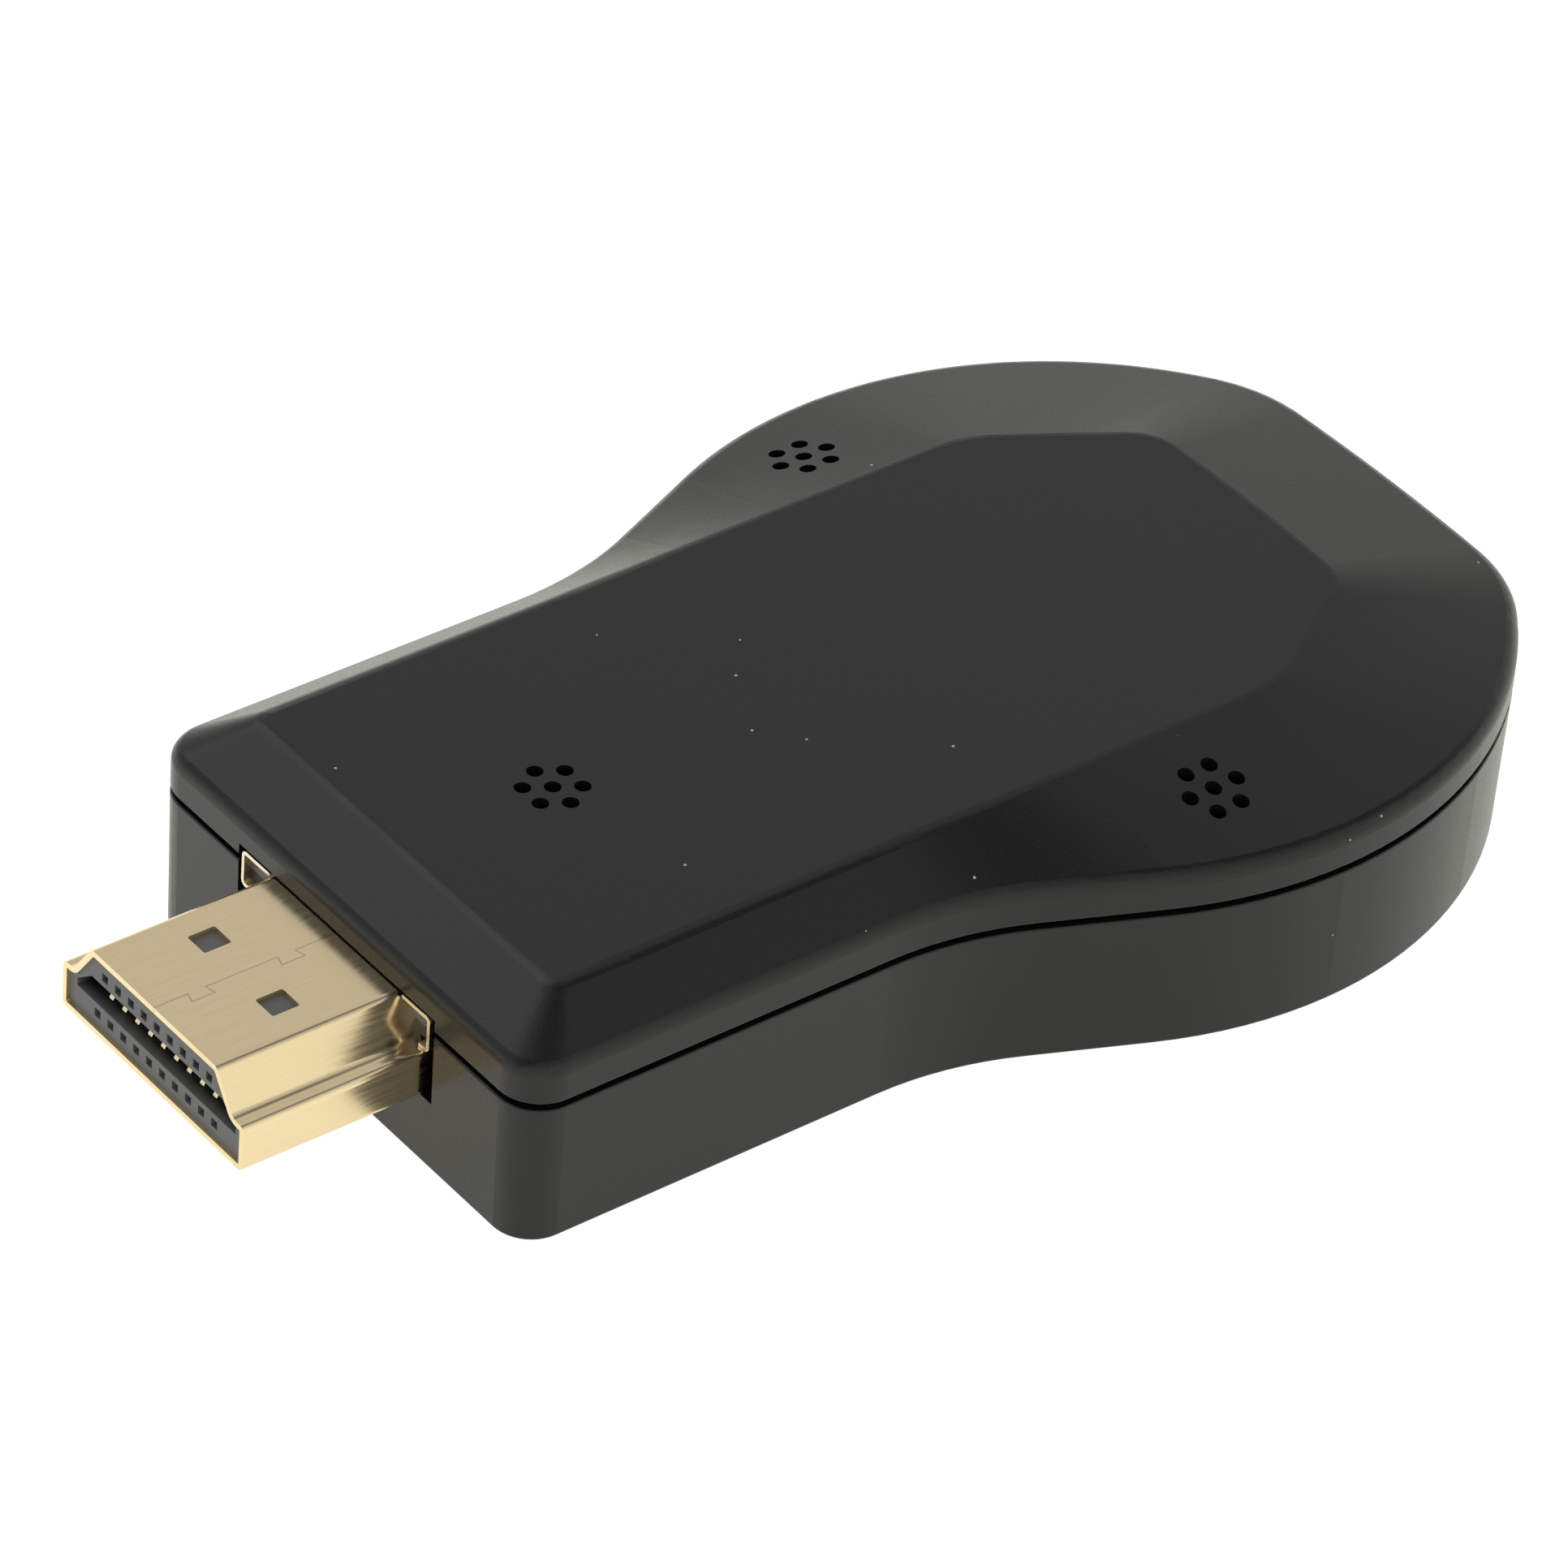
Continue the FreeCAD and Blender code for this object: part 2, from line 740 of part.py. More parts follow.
def make_plug_sleeve():
    """Thin sleeve over the plug's rear: a flat top, two sides and two inturned feet."""
    outer_x = plug_half_width + sleeve_wall
    top_low = plug_height - sleeve_wall
    low = plug_side_height
    front_y = -sleeve_front
    top = plug_bar(outer_x, front_y, plug_rear_y, top_low, plug_height)
    notch_x = plug_top_half_width + sleeve_wall + sleeve_notch_gap
    notch_y = plug_narrow_end_y + sleeve_notch_gap
    top = top.cut(plug_bar(notch_x, front_y - 1, notch_y, top_low - 1, plug_height + 1))
    sides = plug_block(plug_half_width, outer_x, front_y, plug_rear_y, low, plug_height)
    foot_x = outer_x - sleeve_foot
    feet = plug_block(foot_x, outer_x, front_y, plug_rear_y, low, low + sleeve_wall)
    sleeve = joined([top] + sides + feet)
    top_z = plug_bottom_z + plug_height
    corners = [e for e in edges_at(sleeve, top_z) if abs(abs(e.CenterOfMass.x) - outer_x) < 1e-4]
    return sleeve.makeFillet(sleeve_edge_r, corners)


def slot_prism():
    """Flat space inside the plug that the socket's tongue fills."""
    points = [
        V(slot_half_width, 0, slot_low),
        V(slot_half_width, 0, slot_end_low),
        V(slot_top_half_width, 0, slot_high),
    ]
    points += [V(-p.x, p.y, p.z) for p in reversed(points)]
    shift = V(0, -plug_reach - 1, plug_bottom_z)
    ring = [p + shift for p in points + points[:1]]
    return Part.Face(Part.makePolygon(ring)).extrude(V(0, slot_depth + insulator_recess + 1, 0))


contact_tip_y = -plug_reach + insulator_recess + contact_tip_gap


def contact_path(tail_z, beam_z, bump_z):
    """Side view of a plug contact's inner face: tail, step, beam, bump and tip."""
    bump_y = contact_tip_y + contact_bump_length
    tail_end_y = plug_rear_y + contact_tail_length
    step_y = plug_rear_y + contact_step_back
    tip_z = bump_z + (beam_z - bump_z) * contact_tip_share
    stations = [
        (tail_end_y, tail_z),
        (step_y, tail_z),
        (step_y - contact_ramp_length, beam_z),
        (bump_y + contact_ramp_length + contact_bump_length, beam_z),
        (bump_y + contact_bump_length, bump_z),
        (bump_y, bump_z),
        (contact_tip_y, tip_z),
    ]
    return [V(0, y, z) for y, z in stations]


def upper_contacts():
    """Nine contacts under the plug's narrow side, with tails on the board's upper face."""
    up = V(0, 0, plug_bottom_z)
    tail_z = board_top_z - plug_bottom_z
    path = [p + up for p in contact_path(tail_z, upper_beam, upper_bump)]
    path.reverse()
    places = row(upper_contact_count, contact_pitch)
    return [ribbon(path, contact_thickness, contact_width, x) for x in places]


def lower_contacts():
    """Ten contacts over the plug's wide side, with tails on the board's lower face."""
    up = V(0, 0, plug_bottom_z)
    tail_z = board_bottom_z - plug_bottom_z
    path = [p + up for p in contact_path(tail_z, lower_beam, lower_bump)]
    places = row(lower_contact_count, contact_pitch)
    return [ribbon(path, contact_thickness, contact_width, x) for x in places]


def make_plug_insulator():
    """Moulded body inside the plug: a ring round the slot in front, a full block behind."""
    front_y = -plug_reach + insulator_recess
    core = plug_prism(plug_wall, front_y, plug_rear_y)
    top_low = plug_height - sleeve_wall
    foot_high = plug_side_height + sleeve_wall
    collar = plug_bar(plug_half_width, insulator_collar_y, plug_rear_y, foot_high, top_low)
    foot_x = plug_half_width + sleeve_wall - sleeve_foot
    neck = plug_bar(foot_x, plug_narrow_end_y, plug_rear_y, plug_side_height, foot_high)
    rear = joined([collar, neck]).cut(plug_prism(0, -1, plug_narrow_end_y))
    body = joined([core, rear])

    removed = [slot_prism()]
    groove_front_y = contact_tip_y - contact_groove_gap
    slot_roof_z = plug_bottom_z + slot_high - contact_groove_over
    slot_floor_z = plug_bottom_z + slot_low + contact_groove_over
    groove_end_y = front_y + slot_depth
    hole_end_y = front_y + contact_hole_depth
    for x in row(upper_contact_count, contact_pitch):
        low = V(x - contact_groove_width / 2, groove_front_y, slot_roof_z)
        high_z = plug_bottom_z + upper_beam + contact_thickness
        removed.append(block(low, V(x + contact_groove_width / 2, groove_end_y, high_z)))
        low = V(x - contact_hole / 2, front_y - 1, high_z - contact_hole_drop)
        high = V(x + contact_hole / 2, hole_end_y, low.z + contact_hole)
        removed.append(block(low, high))
    for x in row(lower_contact_count, contact_pitch):
        low_z = plug_bottom_z + lower_beam - contact_thickness
        low = V(x - contact_groove_width / 2, groove_front_y, low_z)
        high = V(x + contact_groove_width / 2, groove_end_y, slot_floor_z)
        removed.append(block(low, high))
        high = V(x + contact_hole / 2, hole_end_y, low_z + contact_hole_drop / 2)
        removed.append(block(V(x - contact_hole / 2, front_y - 1, high.z - contact_hole), high))
    removed += upper_contacts() + lower_contacts()
    return body.cut(Part.makeCompound(removed))


def socket_face(inset, y):
    """Upright face with the power socket's section, moved inwards by inset."""
    right = [
        V(socket_low_half_width, y, 0),
        V(socket_half_width, y, socket_chamfer_height),
        V(socket_half_width, y, socket_height),
    ]
    points = [p + V(0, 0, board_top_z) for p in right + [V(-p.x, p.y, p.z) for p in reversed(right)]]
    wire = Part.makePolygon(points + points[:1])
    if inset:
        wire = wire.makeOffset2D(-inset, 2)
    return Part.Face(wire)


socket_back_y = socket_face_y - socket_depth


def make_socket_shell():
    """Power socket's metal shell, closed behind by its insulator, with two legs."""
    outer = socket_face(0, socket_back_y).extrude(V(0, socket_depth, 0))
    inner = socket_face(socket_wall, socket_back_y - 1).extrude(V(0, socket_depth + 2, 0))
    shell = outer.cut(inner)
    legs = []
    leg_y = socket_face_y - socket_leg_front - socket_leg_length
    for side in (1, -1):
        near = min(side * socket_half_width, side * (socket_half_width - socket_wall))
        low = V(near, leg_y, board_bottom_z)
        leg_top_z = board_top_z + socket_chamfer_height + socket_leg_lap
        high = V(near + socket_wall, leg_y + socket_leg_length, leg_top_z)
        legs.append(block(low, high))
    return joined([shell] + legs)


def socket_contacts():
    """Five flat contacts under the tongue, with tails on the board behind the socket."""
    under_z = board_top_z + tongue_low - socket_contact_thickness
    bend_y = socket_back_y - socket_bend_gap
    tail_y = bend_y - socket_contact_thickness
    stations = [
        (socket_face_y - tongue_recess - socket_contact_setback, under_z),
        (bend_y, under_z),
        (bend_y, board_top_z),
        (tail_y - socket_tail_length, board_top_z),
    ]
    path = [V(0, y, z) for y, z in stations]
    outer_first = [V(0, p.y, p.z) for p in reversed(path)]
    places = row(socket_contact_count, socket_contact_pitch)
    return [socket_strip(outer_first, x) for x in places]


def socket_strip(path, x):
    """One power contact, thickened away from the socket's mouth at its bend."""
    return ribbon(path, socket_contact_thickness, socket_contact_width, x)


def make_socket_insulator():
    """Power socket's moulded tongue and the block that closes the shell's rear."""
    rear = socket_face(socket_wall, socket_back_y).extrude(V(0, socket_block_length, 0))
    low = V(-tongue_half_width, socket_back_y, board_top_z + tongue_low)
    high_z = board_top_z + tongue_low + tongue_thickness
    tongue = block(low, V(tongue_half_width, socket_face_y - tongue_recess, high_z))
    return joined([rear, tongue]).cut(Part.makeCompound(socket_contacts()))


def make_light_pipe():
    """Clear bar that carries the lamp's light through the far wall, with a stop flange."""
    end_y = case_length - pipe_end_setback
    start_y = end_y - pipe_length
    bar = pipe_section(0, start_y, end_y)
    flange_end_y = case_length - case_wall - pipe_flange_setback
    flange_low = V(lamp_x - lamp_width / 2 - pipe_flange, flange_end_y - pipe_flange_length, 0)
    flange_low.z = board_top_z + pipe_lift
    flange_high = V(lamp_x + lamp_width / 2 + pipe_flange, flange_end_y, 0)
    flange_high.z = flange_low.z + pipe_height + pipe_flange
    return joined([bar, block(flange_low, flange_high)])


def make_status_lamp():
    """Small surface-mounted lamp just inside the light pipe."""
    y = case_length - pipe_end_setback - pipe_length - pipe_gap - lamp_length / 2
    size = V(lamp_width, lamp_length, lamp_height)
    return centred_block(lamp_x, y, size, board_top_z)


# The button's and the switch's places across the case, from the wall inwards
wall_inner_x = -stem_half_width + case_wall
flange_outer_x = wall_inner_x + button_wall_gap
flange_inner_x = flange_outer_x + button_flange_thickness
switch_front_x = flange_inner_x + button_travel + button_stop_gap
shoulder_front_x = switch_front_x + switch_wall
plunger_rear_x = shoulder_front_x + plunger_shoulder_length
cavity_end_x = plunger_rear_x + button_travel + dome_gap + dome_rise


def make_mode_button():
    """Round-ended button cap with a flange that keeps it inside the wall."""
    cap = button_bar(0, -stem_half_width - button_proud, flange_inner_x)
    half = button_length / 2 + button_flange_side
    low = V(flange_outer_x, button_y - half, button_z - button_height / 2 - button_flange_below)
    high = V(flange_inner_x, button_y + half, board_bottom_z - switch_gap)
    return joined([cap, block(low, high)])


def make_switch_housing():
    """Side-push switch body under the board, with a cavity for the plunger and dome."""
    low = V(switch_front_x, button_y - switch_length / 2, board_bottom_z - switch_height)
    high = V(switch_front_x + switch_depth, button_y + switch_length / 2, board_bottom_z)
    body = block(low, high)
    half_height = plunger_height / 2 + switch_gap
    low = V(shoulder_front_x, button_y - switch_cavity_half, button_z - half_height)
    cavity = block(low, V(cavity_end_x, button_y + switch_cavity_half, button_z + half_height))
    half = plunger_half + switch_gap
    low = V(switch_front_x - 1, button_y - half, button_z - half_height)
    mouth = block(low, V(shoulder_front_x + 0.1, button_y + half, button_z + half_height))
    return body.cut(joined([cavity, mouth]))


def make_switch_plunger():
    """Plunger between the button's flange and the switch's dome, kept by its shoulder."""
    low_z = button_z - plunger_height / 2
    high_z = button_z + plunger_height / 2
    low = V(flange_inner_x, button_y - plunger_half, low_z)
    nose = block(low, V(plunger_rear_x, button_y + plunger_half, high_z))
    shoulder_x = shoulder_front_x + plunger_shoulder_gap
    low = V(shoulder_x, button_y - plunger_shoulder_half, low_z)
    shoulder = block(low, V(plunger_rear_x, button_y + plunger_shoulder_half, high_z))
    return joined([nose, shoulder])


def make_switch_dome():
    """Bowed snap spring that stands on the cavity's rear wall behind the plunger."""
    half = switch_cavity_half - switch_gap
    rear_x = cavity_end_x
    apex_x = rear_x - dome_rise
    ends = [V(rear_x, button_y - half, 0), V(rear_x, button_y + half, 0)]
    outer = Part.Arc(ends[0], V(apex_x, button_y, 0), ends[1]).toShape()
    inset = V(0, dome_thickness, 0)
    inner_middle = V(apex_x + dome_thickness, button_y, 0)
    inner = Part.Arc(ends[1] - inset, inner_middle, ends[0] + inset).toShape()
    sides = [
        Part.makeLine(ends[1], ends[1] - inset),
        Part.makeLine(ends[0] + inset, ends[0]),
    ]
    ring = Part.Wire([outer, sides[0], inner, sides[1]])
    height = plunger_height
    ring.translate(V(0, 0, button_z - height / 2))
    return Part.Face(ring).extrude(V(0, 0, height))


def make_switch_cover():
    """Thin steel cover under the switch, bent up both sides to the board."""
    low = V(switch_front_x, button_y - switch_length / 2, board_bottom_z - switch_height)
    high = V(switch_front_x + switch_depth, button_y + switch_length / 2, board_bottom_z)
    grow = V(0, switch_cover_sheet, 0)
    outer = block(low - grow - V(0, 0, switch_cover_sheet), high + grow)
    return outer.cut(block(low - V(1, 0, 0), high + V(1, 0, 1)))


def make_heat_sink():
    """Aluminium plate with low fins over the processor's pad."""
    low_z = board_top_z + processor_size.z + pad_thickness
    plate = centred_block(0, processor_y, heat_sink_size, low_z)
    pitch = (heat_sink_size.x - fin_thickness) / (fin_count - 1)
    fins = []
    for x in row(fin_count, pitch):
        size = V(fin_thickness, heat_sink_size.y, heat_sink_size.z + fin_height)
        fins.append(centred_block(x, processor_y, size, low_z))
    return joined([plate] + fins)


def make_flash_chip():
    """Eight-legged memory under the board."""
    low_z = board_bottom_z - flash_size.z
    body = centred_block(flash_place.x, flash_place.y, flash_size, low_z)
    leads = []
    for side in (1, -1):
        x = flash_place.x + side * (flash_size.x + flash_lead_size.x) / 2
        for y in row(flash_lead_count, flash_lead_pitch):
            lead_z = board_bottom_z - flash_lead_size.z
            leads.append(centred_block(x, flash_place.y + y, flash_lead_size, lead_z))
    return joined([body] + leads)


def make_shield_can():
    """Radio module's thin metal lid, open underneath."""
    y = bulb_y + module_ahead
    low_z = board_top_z + module_size.z
    outer_size = V(module_size.x - 2 * can_inset, module_size.y - 2 * can_inset, can_height)
    thin = V(2 * can_wall, 2 * can_wall, can_wall)
    outer = centred_block(module_x, y, outer_size, low_z)
    return outer.cut(centred_block(module_x, y, outer_size - thin, low_z))


def make_antenna():
    """Raised flat antenna on two legs at the bulb's left edge."""
    mid_y = bulb_y + antenna_back
    low_z = board_top_z + antenna_rise
    x = antenna_wall_gap + case_wall - bulb_half_width + antenna_width / 2
    plate = centred_block(x, mid_y, V(antenna_width, antenna_length, antenna_sheet), low_z)
    legs = []
    for side in (-1, 1):
        y = mid_y + side * (antenna_length - antenna_sheet) / 2
        size = V(antenna_leg, antenna_sheet, antenna_rise + antenna_sheet)
        legs.append(centred_block(x, y, size, board_top_z))
    return joined([plate] + legs)


def on_board(place, size, base_y):
    """Box that stands on the board at a place counted from base_y."""
    return centred_block(place.x, base_y + place.y, size, board_top_z)


def chip_row(count, size, y):
    """Row of small chips across the board."""
    return [centred_block(x, y, size, board_top_z) for x in row(count, chip_pitch)]


processor_low = processor_y - processor_size.y / 2
memory_y = bulb_y - memory_back
module_y = bulb_y + module_ahead
filter_y = plug_rear_y + contact_tail_length + filter_gap

write("lower_shell", [make_lower_shell()])
write("upper_shell", [make_upper_shell()])
write("main_board", [make_main_board()])
write("board_screws", make_board_screws())
write("plug_shell", [make_plug_shell()])
write("plug_sleeve", [make_plug_sleeve()])
write("plug_insulator", [make_plug_insulator()])
write("plug_upper_contacts", upper_contacts())
write("plug_lower_contacts", lower_contacts())
write("power_socket_shell", [make_socket_shell()])
write("power_socket_insulator", [make_socket_insulator()])
write("power_socket_contacts", socket_contacts())
write("light_pipe", [make_light_pipe()])
write("status_lamp", [make_status_lamp()])
write("mode_button", [make_mode_button()])
write("switch_housing", [make_switch_housing()])
write("switch_plunger", [make_switch_plunger()])
write("switch_dome", [make_switch_dome()])
write("switch_cover", [make_switch_cover()])

write("processor_chip", [centred_block(0, processor_y, processor_size, board_top_z)])
pad_size = V(processor_size.x, processor_size.y, pad_thickness)
pad_z = board_top_z + processor_size.z
write("thermal_pad", [centred_block(0, processor_y, pad_size, pad_z)])
write("heat_sink", [make_heat_sink()])
write("memory_chips", [on_board(V(side * memory_x, 0, 0), memory_size, memory_y) for side in (1, -1)])
write("flash_chip", [make_flash_chip()])
write("radio_board", [on_board(V(module_x, 0, 0), module_size, module_y)])
radio_chip_z = board_top_z + module_size.z
write("radio_chip", [centred_block(module_x, module_y, radio_chip_size, radio_chip_z)])
write("radio_shield", [make_shield_can()])
write("antenna", [make_antenna()])
write("crystal", [on_board(crystal_place, crystal_size, bulb_y)])
write("power_inductor", [on_board(inductor_place, inductor_size, bulb_y)])
bulk_places = [V(bulk_capacitor_x, bulk_capacitor_ahead + y, 0) for y in row(2, bulk_capacitor_pitch)]
write("bulk_capacitors", [on_board(place, bulk_capacitor_size, bulb_y) for place in bulk_places])
write("voltage_regulator", [on_board(regulator_place, regulator_size, bulb_y)])
write("line_filters", [
    centred_block(x, filter_y, filter_size, board_top_z) for x in row(filter_count, filter_pitch)
])
front_row_y = processor_low - chip_row_gap
rear_row_y = processor_low + processor_size.y + chip_row_gap
write("chip_capacitors", chip_row(chip_capacitor_count, chip_capacitor_size, front_row_y))
write("chip_resistors", chip_row(chip_resistor_count, chip_resistor_size, rear_row_y))
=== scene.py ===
"""Looks of a wireless display adapter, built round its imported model."""
import math

import bmesh
import bpy
from bpy.props import FloatProperty, FloatVectorProperty, PointerProperty
from mathutils import Matrix, Vector


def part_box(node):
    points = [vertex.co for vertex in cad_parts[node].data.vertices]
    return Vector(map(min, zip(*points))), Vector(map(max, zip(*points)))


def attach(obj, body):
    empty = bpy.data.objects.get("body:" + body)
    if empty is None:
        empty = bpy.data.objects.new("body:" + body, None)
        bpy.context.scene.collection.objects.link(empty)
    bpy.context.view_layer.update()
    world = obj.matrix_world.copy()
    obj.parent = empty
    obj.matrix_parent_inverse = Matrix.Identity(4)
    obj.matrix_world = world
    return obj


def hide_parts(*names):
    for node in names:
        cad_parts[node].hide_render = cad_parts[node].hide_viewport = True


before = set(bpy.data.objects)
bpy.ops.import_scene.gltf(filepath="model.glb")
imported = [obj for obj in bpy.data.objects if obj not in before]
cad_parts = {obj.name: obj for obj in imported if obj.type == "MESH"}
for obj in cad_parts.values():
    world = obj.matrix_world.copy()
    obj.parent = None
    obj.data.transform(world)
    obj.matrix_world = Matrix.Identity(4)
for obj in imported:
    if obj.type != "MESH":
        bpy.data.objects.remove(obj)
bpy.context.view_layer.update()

bl_info = {
    "name": "Wireless display adapter",
    "version": (1, 0, 0),
    "blender": (4, 5, 0),
    "location": "3D View > Sidebar > Adapter",
    "description": "Dresses the adapter's packed model and sets up its studio",
    "category": "Object",
}

MM = 0.001
BODY = "adapter"
BUTTON = "button"
WHITE = (1, 1, 1, 1)

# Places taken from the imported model: the plug, the power socket, the lamp's pipe, the button
PLUG_LOW, PLUG_HIGH = (Vector(corner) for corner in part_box("plug_shell"))
SLEEVE_LOW, SLEEVE_HIGH = (Vector(corner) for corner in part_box("plug_sleeve"))
SOCKET_LOW, SOCKET_HIGH = (Vector(corner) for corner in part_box("power_socket_shell"))
PIPE_LOW, PIPE_HIGH = (Vector(corner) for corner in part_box("light_pipe"))
CAP_LOW, CAP_HIGH = (Vector(corner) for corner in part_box("mode_button"))
BOARD_LOW, BOARD_HIGH = (Vector(corner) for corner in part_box("main_board"))


def linear(code):
    """Linear colour of an sRGB hex value."""
    levels = [int(code[i:i + 2], 16) / 255 for i in (0, 2, 4)]
    return tuple(v / 12.92 if v <= 0.04045 else ((v + 0.055) / 1.055) ** 2.4 for v in levels)


# Black moulding compound of the chips
EPOXY = linear("262728")


def add_node(tree, kind, inputs=(), **settings):
    """Add a node with its settings, and fill its sockets with values or links."""
    made = tree.nodes.new(kind)
    for name, value in settings.items():
        setattr(made, name, value)
    for name, value in dict(inputs).items():
        if isinstance(value, bpy.types.NodeSocket):
            tree.links.new(value, made.inputs[name])
        else:
            made.inputs[name].default_value = value
    return made


def calc(tree, operation, *values):
    """Result of a math node on numbers or links."""
    made = add_node(tree, "ShaderNodeMath", dict(enumerate(values)), operation=operation)
    return made.outputs[0]


def mix(tree, share, below, above):
    """Colour from below to above, by a share from 0 to 1."""
    inputs = {0: share, 6: below, 7: above}
    return add_node(tree, "ShaderNodeMix", inputs, data_type="RGBA").outputs[2]


def ramp(tree, value, start, end, first=0, last=1, curve="LINEAR"):
    """Carry a value that runs from start to end over to the range from first to last."""
    inputs = {"Value": value, "From Min": start, "From Max": end, "To Min": first, "To Max": last}
    return add_node(tree, "ShaderNodeMapRange", inputs, interpolation_type=curve).outputs[0]


def coordinate(tree, place, axis):
    """One coordinate of a place."""
    return add_node(tree, "ShaderNodeSeparateXYZ", {0: place}).outputs[axis]


def start_material(name):
    """New material with a node tree, its surface shader and Object coordinates."""
    material = bpy.data.materials.new(name)
    material.use_nodes = True
    tree = material.node_tree
    tree.nodes.clear()
    shader = add_node(tree, "ShaderNodeBsdfPrincipled")
    add_node(tree, "ShaderNodeOutputMaterial", {"Surface": shader.outputs["BSDF"]})
    place = add_node(tree, "ShaderNodeTexCoord").outputs["Object"]
    return material, tree, shader, place


class CaseLook(bpy.types.PropertyGroup):
    """Finish of the moulded case."""

    colour: FloatVectorProperty(
        name="Case colour", description="Pigment of the case plastic",
        subtype="COLOR", default=linear("151515"), min=0, max=1)
    grain: FloatProperty(
        name="Grain size", description="Width of one dimple of the spark-eroded texture",
        unit="LENGTH", default=0.13 * MM)
    grain_depth: FloatProperty(
        name="Grain depth", description="Depth of the spark-eroded texture",
        unit="LENGTH", default=0.003 * MM)
    gloss: FloatProperty(
        name="Roughness", description="Roughness of the case plastic",
        subtype="FACTOR", default=0.26, min=0, max=1)
    dust: FloatVectorProperty(
        name="Dust colour", description="Colour of the few specks on the top",
        subtype="COLOR", default=linear("c9c6bd"), min=0, max=1)


class PlugLook(bpy.types.PropertyGroup):
    """Finish and formed edges of the display plug."""

    plating: FloatVectorProperty(
        name="Plating colour", description="Thin gold plate on the formed shell",
        subtype="COLOR", default=linear("fbe6bc"), min=0, max=1)
    insulator: FloatVectorProperty(
        name="Insulator colour", description="Moulding inside the plug",
        subtype="COLOR", default=linear("6c6d70"), min=0, max=1)
    bend: FloatProperty(
        name="Bend radius", description="Outer radius of the bends along the shell",
        unit="LENGTH", default=0.35 * MM)
    hollow_bend: FloatProperty(
        name="Hollow bend", description="Length that the bend takes on the ledge and on the slope",
        unit="LENGTH", default=0.28 * MM)
    seam: FloatProperty(
        name="Seam width", description="Gap where the formed sheet's two edges meet",
        unit="LENGTH", default=0.02 * MM)


class StudioLook(bpy.types.PropertyGroup):
    """Camera, floor and light."""

    place: FloatVectorProperty(
        name="Camera place", description="Where the camera stands",
        subtype="TRANSLATION", unit="LENGTH", default=(0.243077, -0.207996, 0.249504))
    azimuth: FloatProperty(
        name="Azimuth", description="Camera's turn round the object",
        subtype="ANGLE", default=math.radians(49.551))
    elevation: FloatProperty(
        name="Elevation", description="Camera's height above the horizon",
        subtype="ANGLE", default=math.radians(37.293))
    roll: FloatProperty(
        name="Roll", description="Camera's tilt about its own axis",
        subtype="ANGLE", default=math.radians(4.883))
    lens: FloatProperty(
        name="Focal length", description="Camera's focal length",
        unit="CAMERA", default=202.77, min=1)
    sky: FloatProperty(
        name="Sky light", description="Strength of the sky overhead",
        default=0.55, min=0)
    horizon: FloatProperty(
        name="Horizon light", description="What the sky gains near the horizon",
        default=0.38, min=0)
    shade: FloatProperty(
        name="Overhead gap", description="What the sky loses in a gap overhead",
        default=0.37, min=0)
    haze: FloatVectorProperty(
        name="Haze colour", description="Colour of the horizon and of the floor in mirror rays",
        subtype="COLOR", default=linear("fffef4"), min=0, max=1)
    lamp: FloatProperty(
        name="Lamp power", description="Power of the soft box",
        unit="POWER", default=0.85, min=0)
    lamp_size: FloatProperty(
        name="Lamp size", description="Width and height of the soft box",
        unit="LENGTH", default=0.62, min=0)
    lamp_place: FloatVectorProperty(
        name="Lamp place", description="Where the soft box hangs, aimed at the object",
        subtype="TRANSLATION", unit="LENGTH", default=(-0.61, -0.12, 0.78))
    lamp_colour: FloatVectorProperty(
        name="Lamp colour", description="Colour of the soft box, a little cool",
        subtype="COLOR", default=(0.93, 0.96, 1.0), min=0, max=1)
    floor: FloatVectorProperty(
        name="Floor colour", description="Colour of the floor",
        subtype="COLOR", default=linear("f6f6f5"), min=0, max=1)


def rgba(colour, factor=1.0):
    """Colour with alpha, made lighter or darker by a factor."""
    return (*[v * factor for v in colour], 1)


def around(middle, reach=0.05):
    """Range from a little under to a little over a value."""
    return middle - reach, middle + reach


def grain(tree, place, size, stretch=(1, 1, 1), detail=3.0):
    """Grain from 0 to 1 whose blobs are about size metres across, drawn out by a stretch."""
    factors = [share / size for share in stretch]
    scaled = add_node(tree, "ShaderNodeVectorMath", {0: place, 1: factors}, operation="MULTIPLY")
    waves = add_node(tree, "ShaderNodeTexNoise", {
        "Vector": scaled.outputs[0], "Scale": 1, "Detail": detail, "Roughness": 0.55})
    return ramp(tree, waves.outputs[0], 0.3, 0.7)


def give_surface(tree, shader, pattern, colours, roughness, depth):
    """Let colour, roughness and bump follow a pattern from 0 to 1. Returns the colour."""
    mixed = mix(tree, pattern, *colours)
    rough = ramp(tree, pattern, 0, 1, *roughness)
    bump = add_node(tree, "ShaderNodeBump", {"Height": pattern, "Distance": depth})
    tree.links.new(mixed, shader.inputs["Base Color"])
    tree.links.new(rough, shader.inputs["Roughness"])
    tree.links.new(bump.outputs[0], shader.inputs["Normal"])
    return mixed


def recolour(tree, shader, share, below, above):
    """Mix a second colour over the first by a share from 0 to 1, and give it to the shader."""
    tree.links.new(mix(tree, share, below, above), shader.inputs["Base Color"])


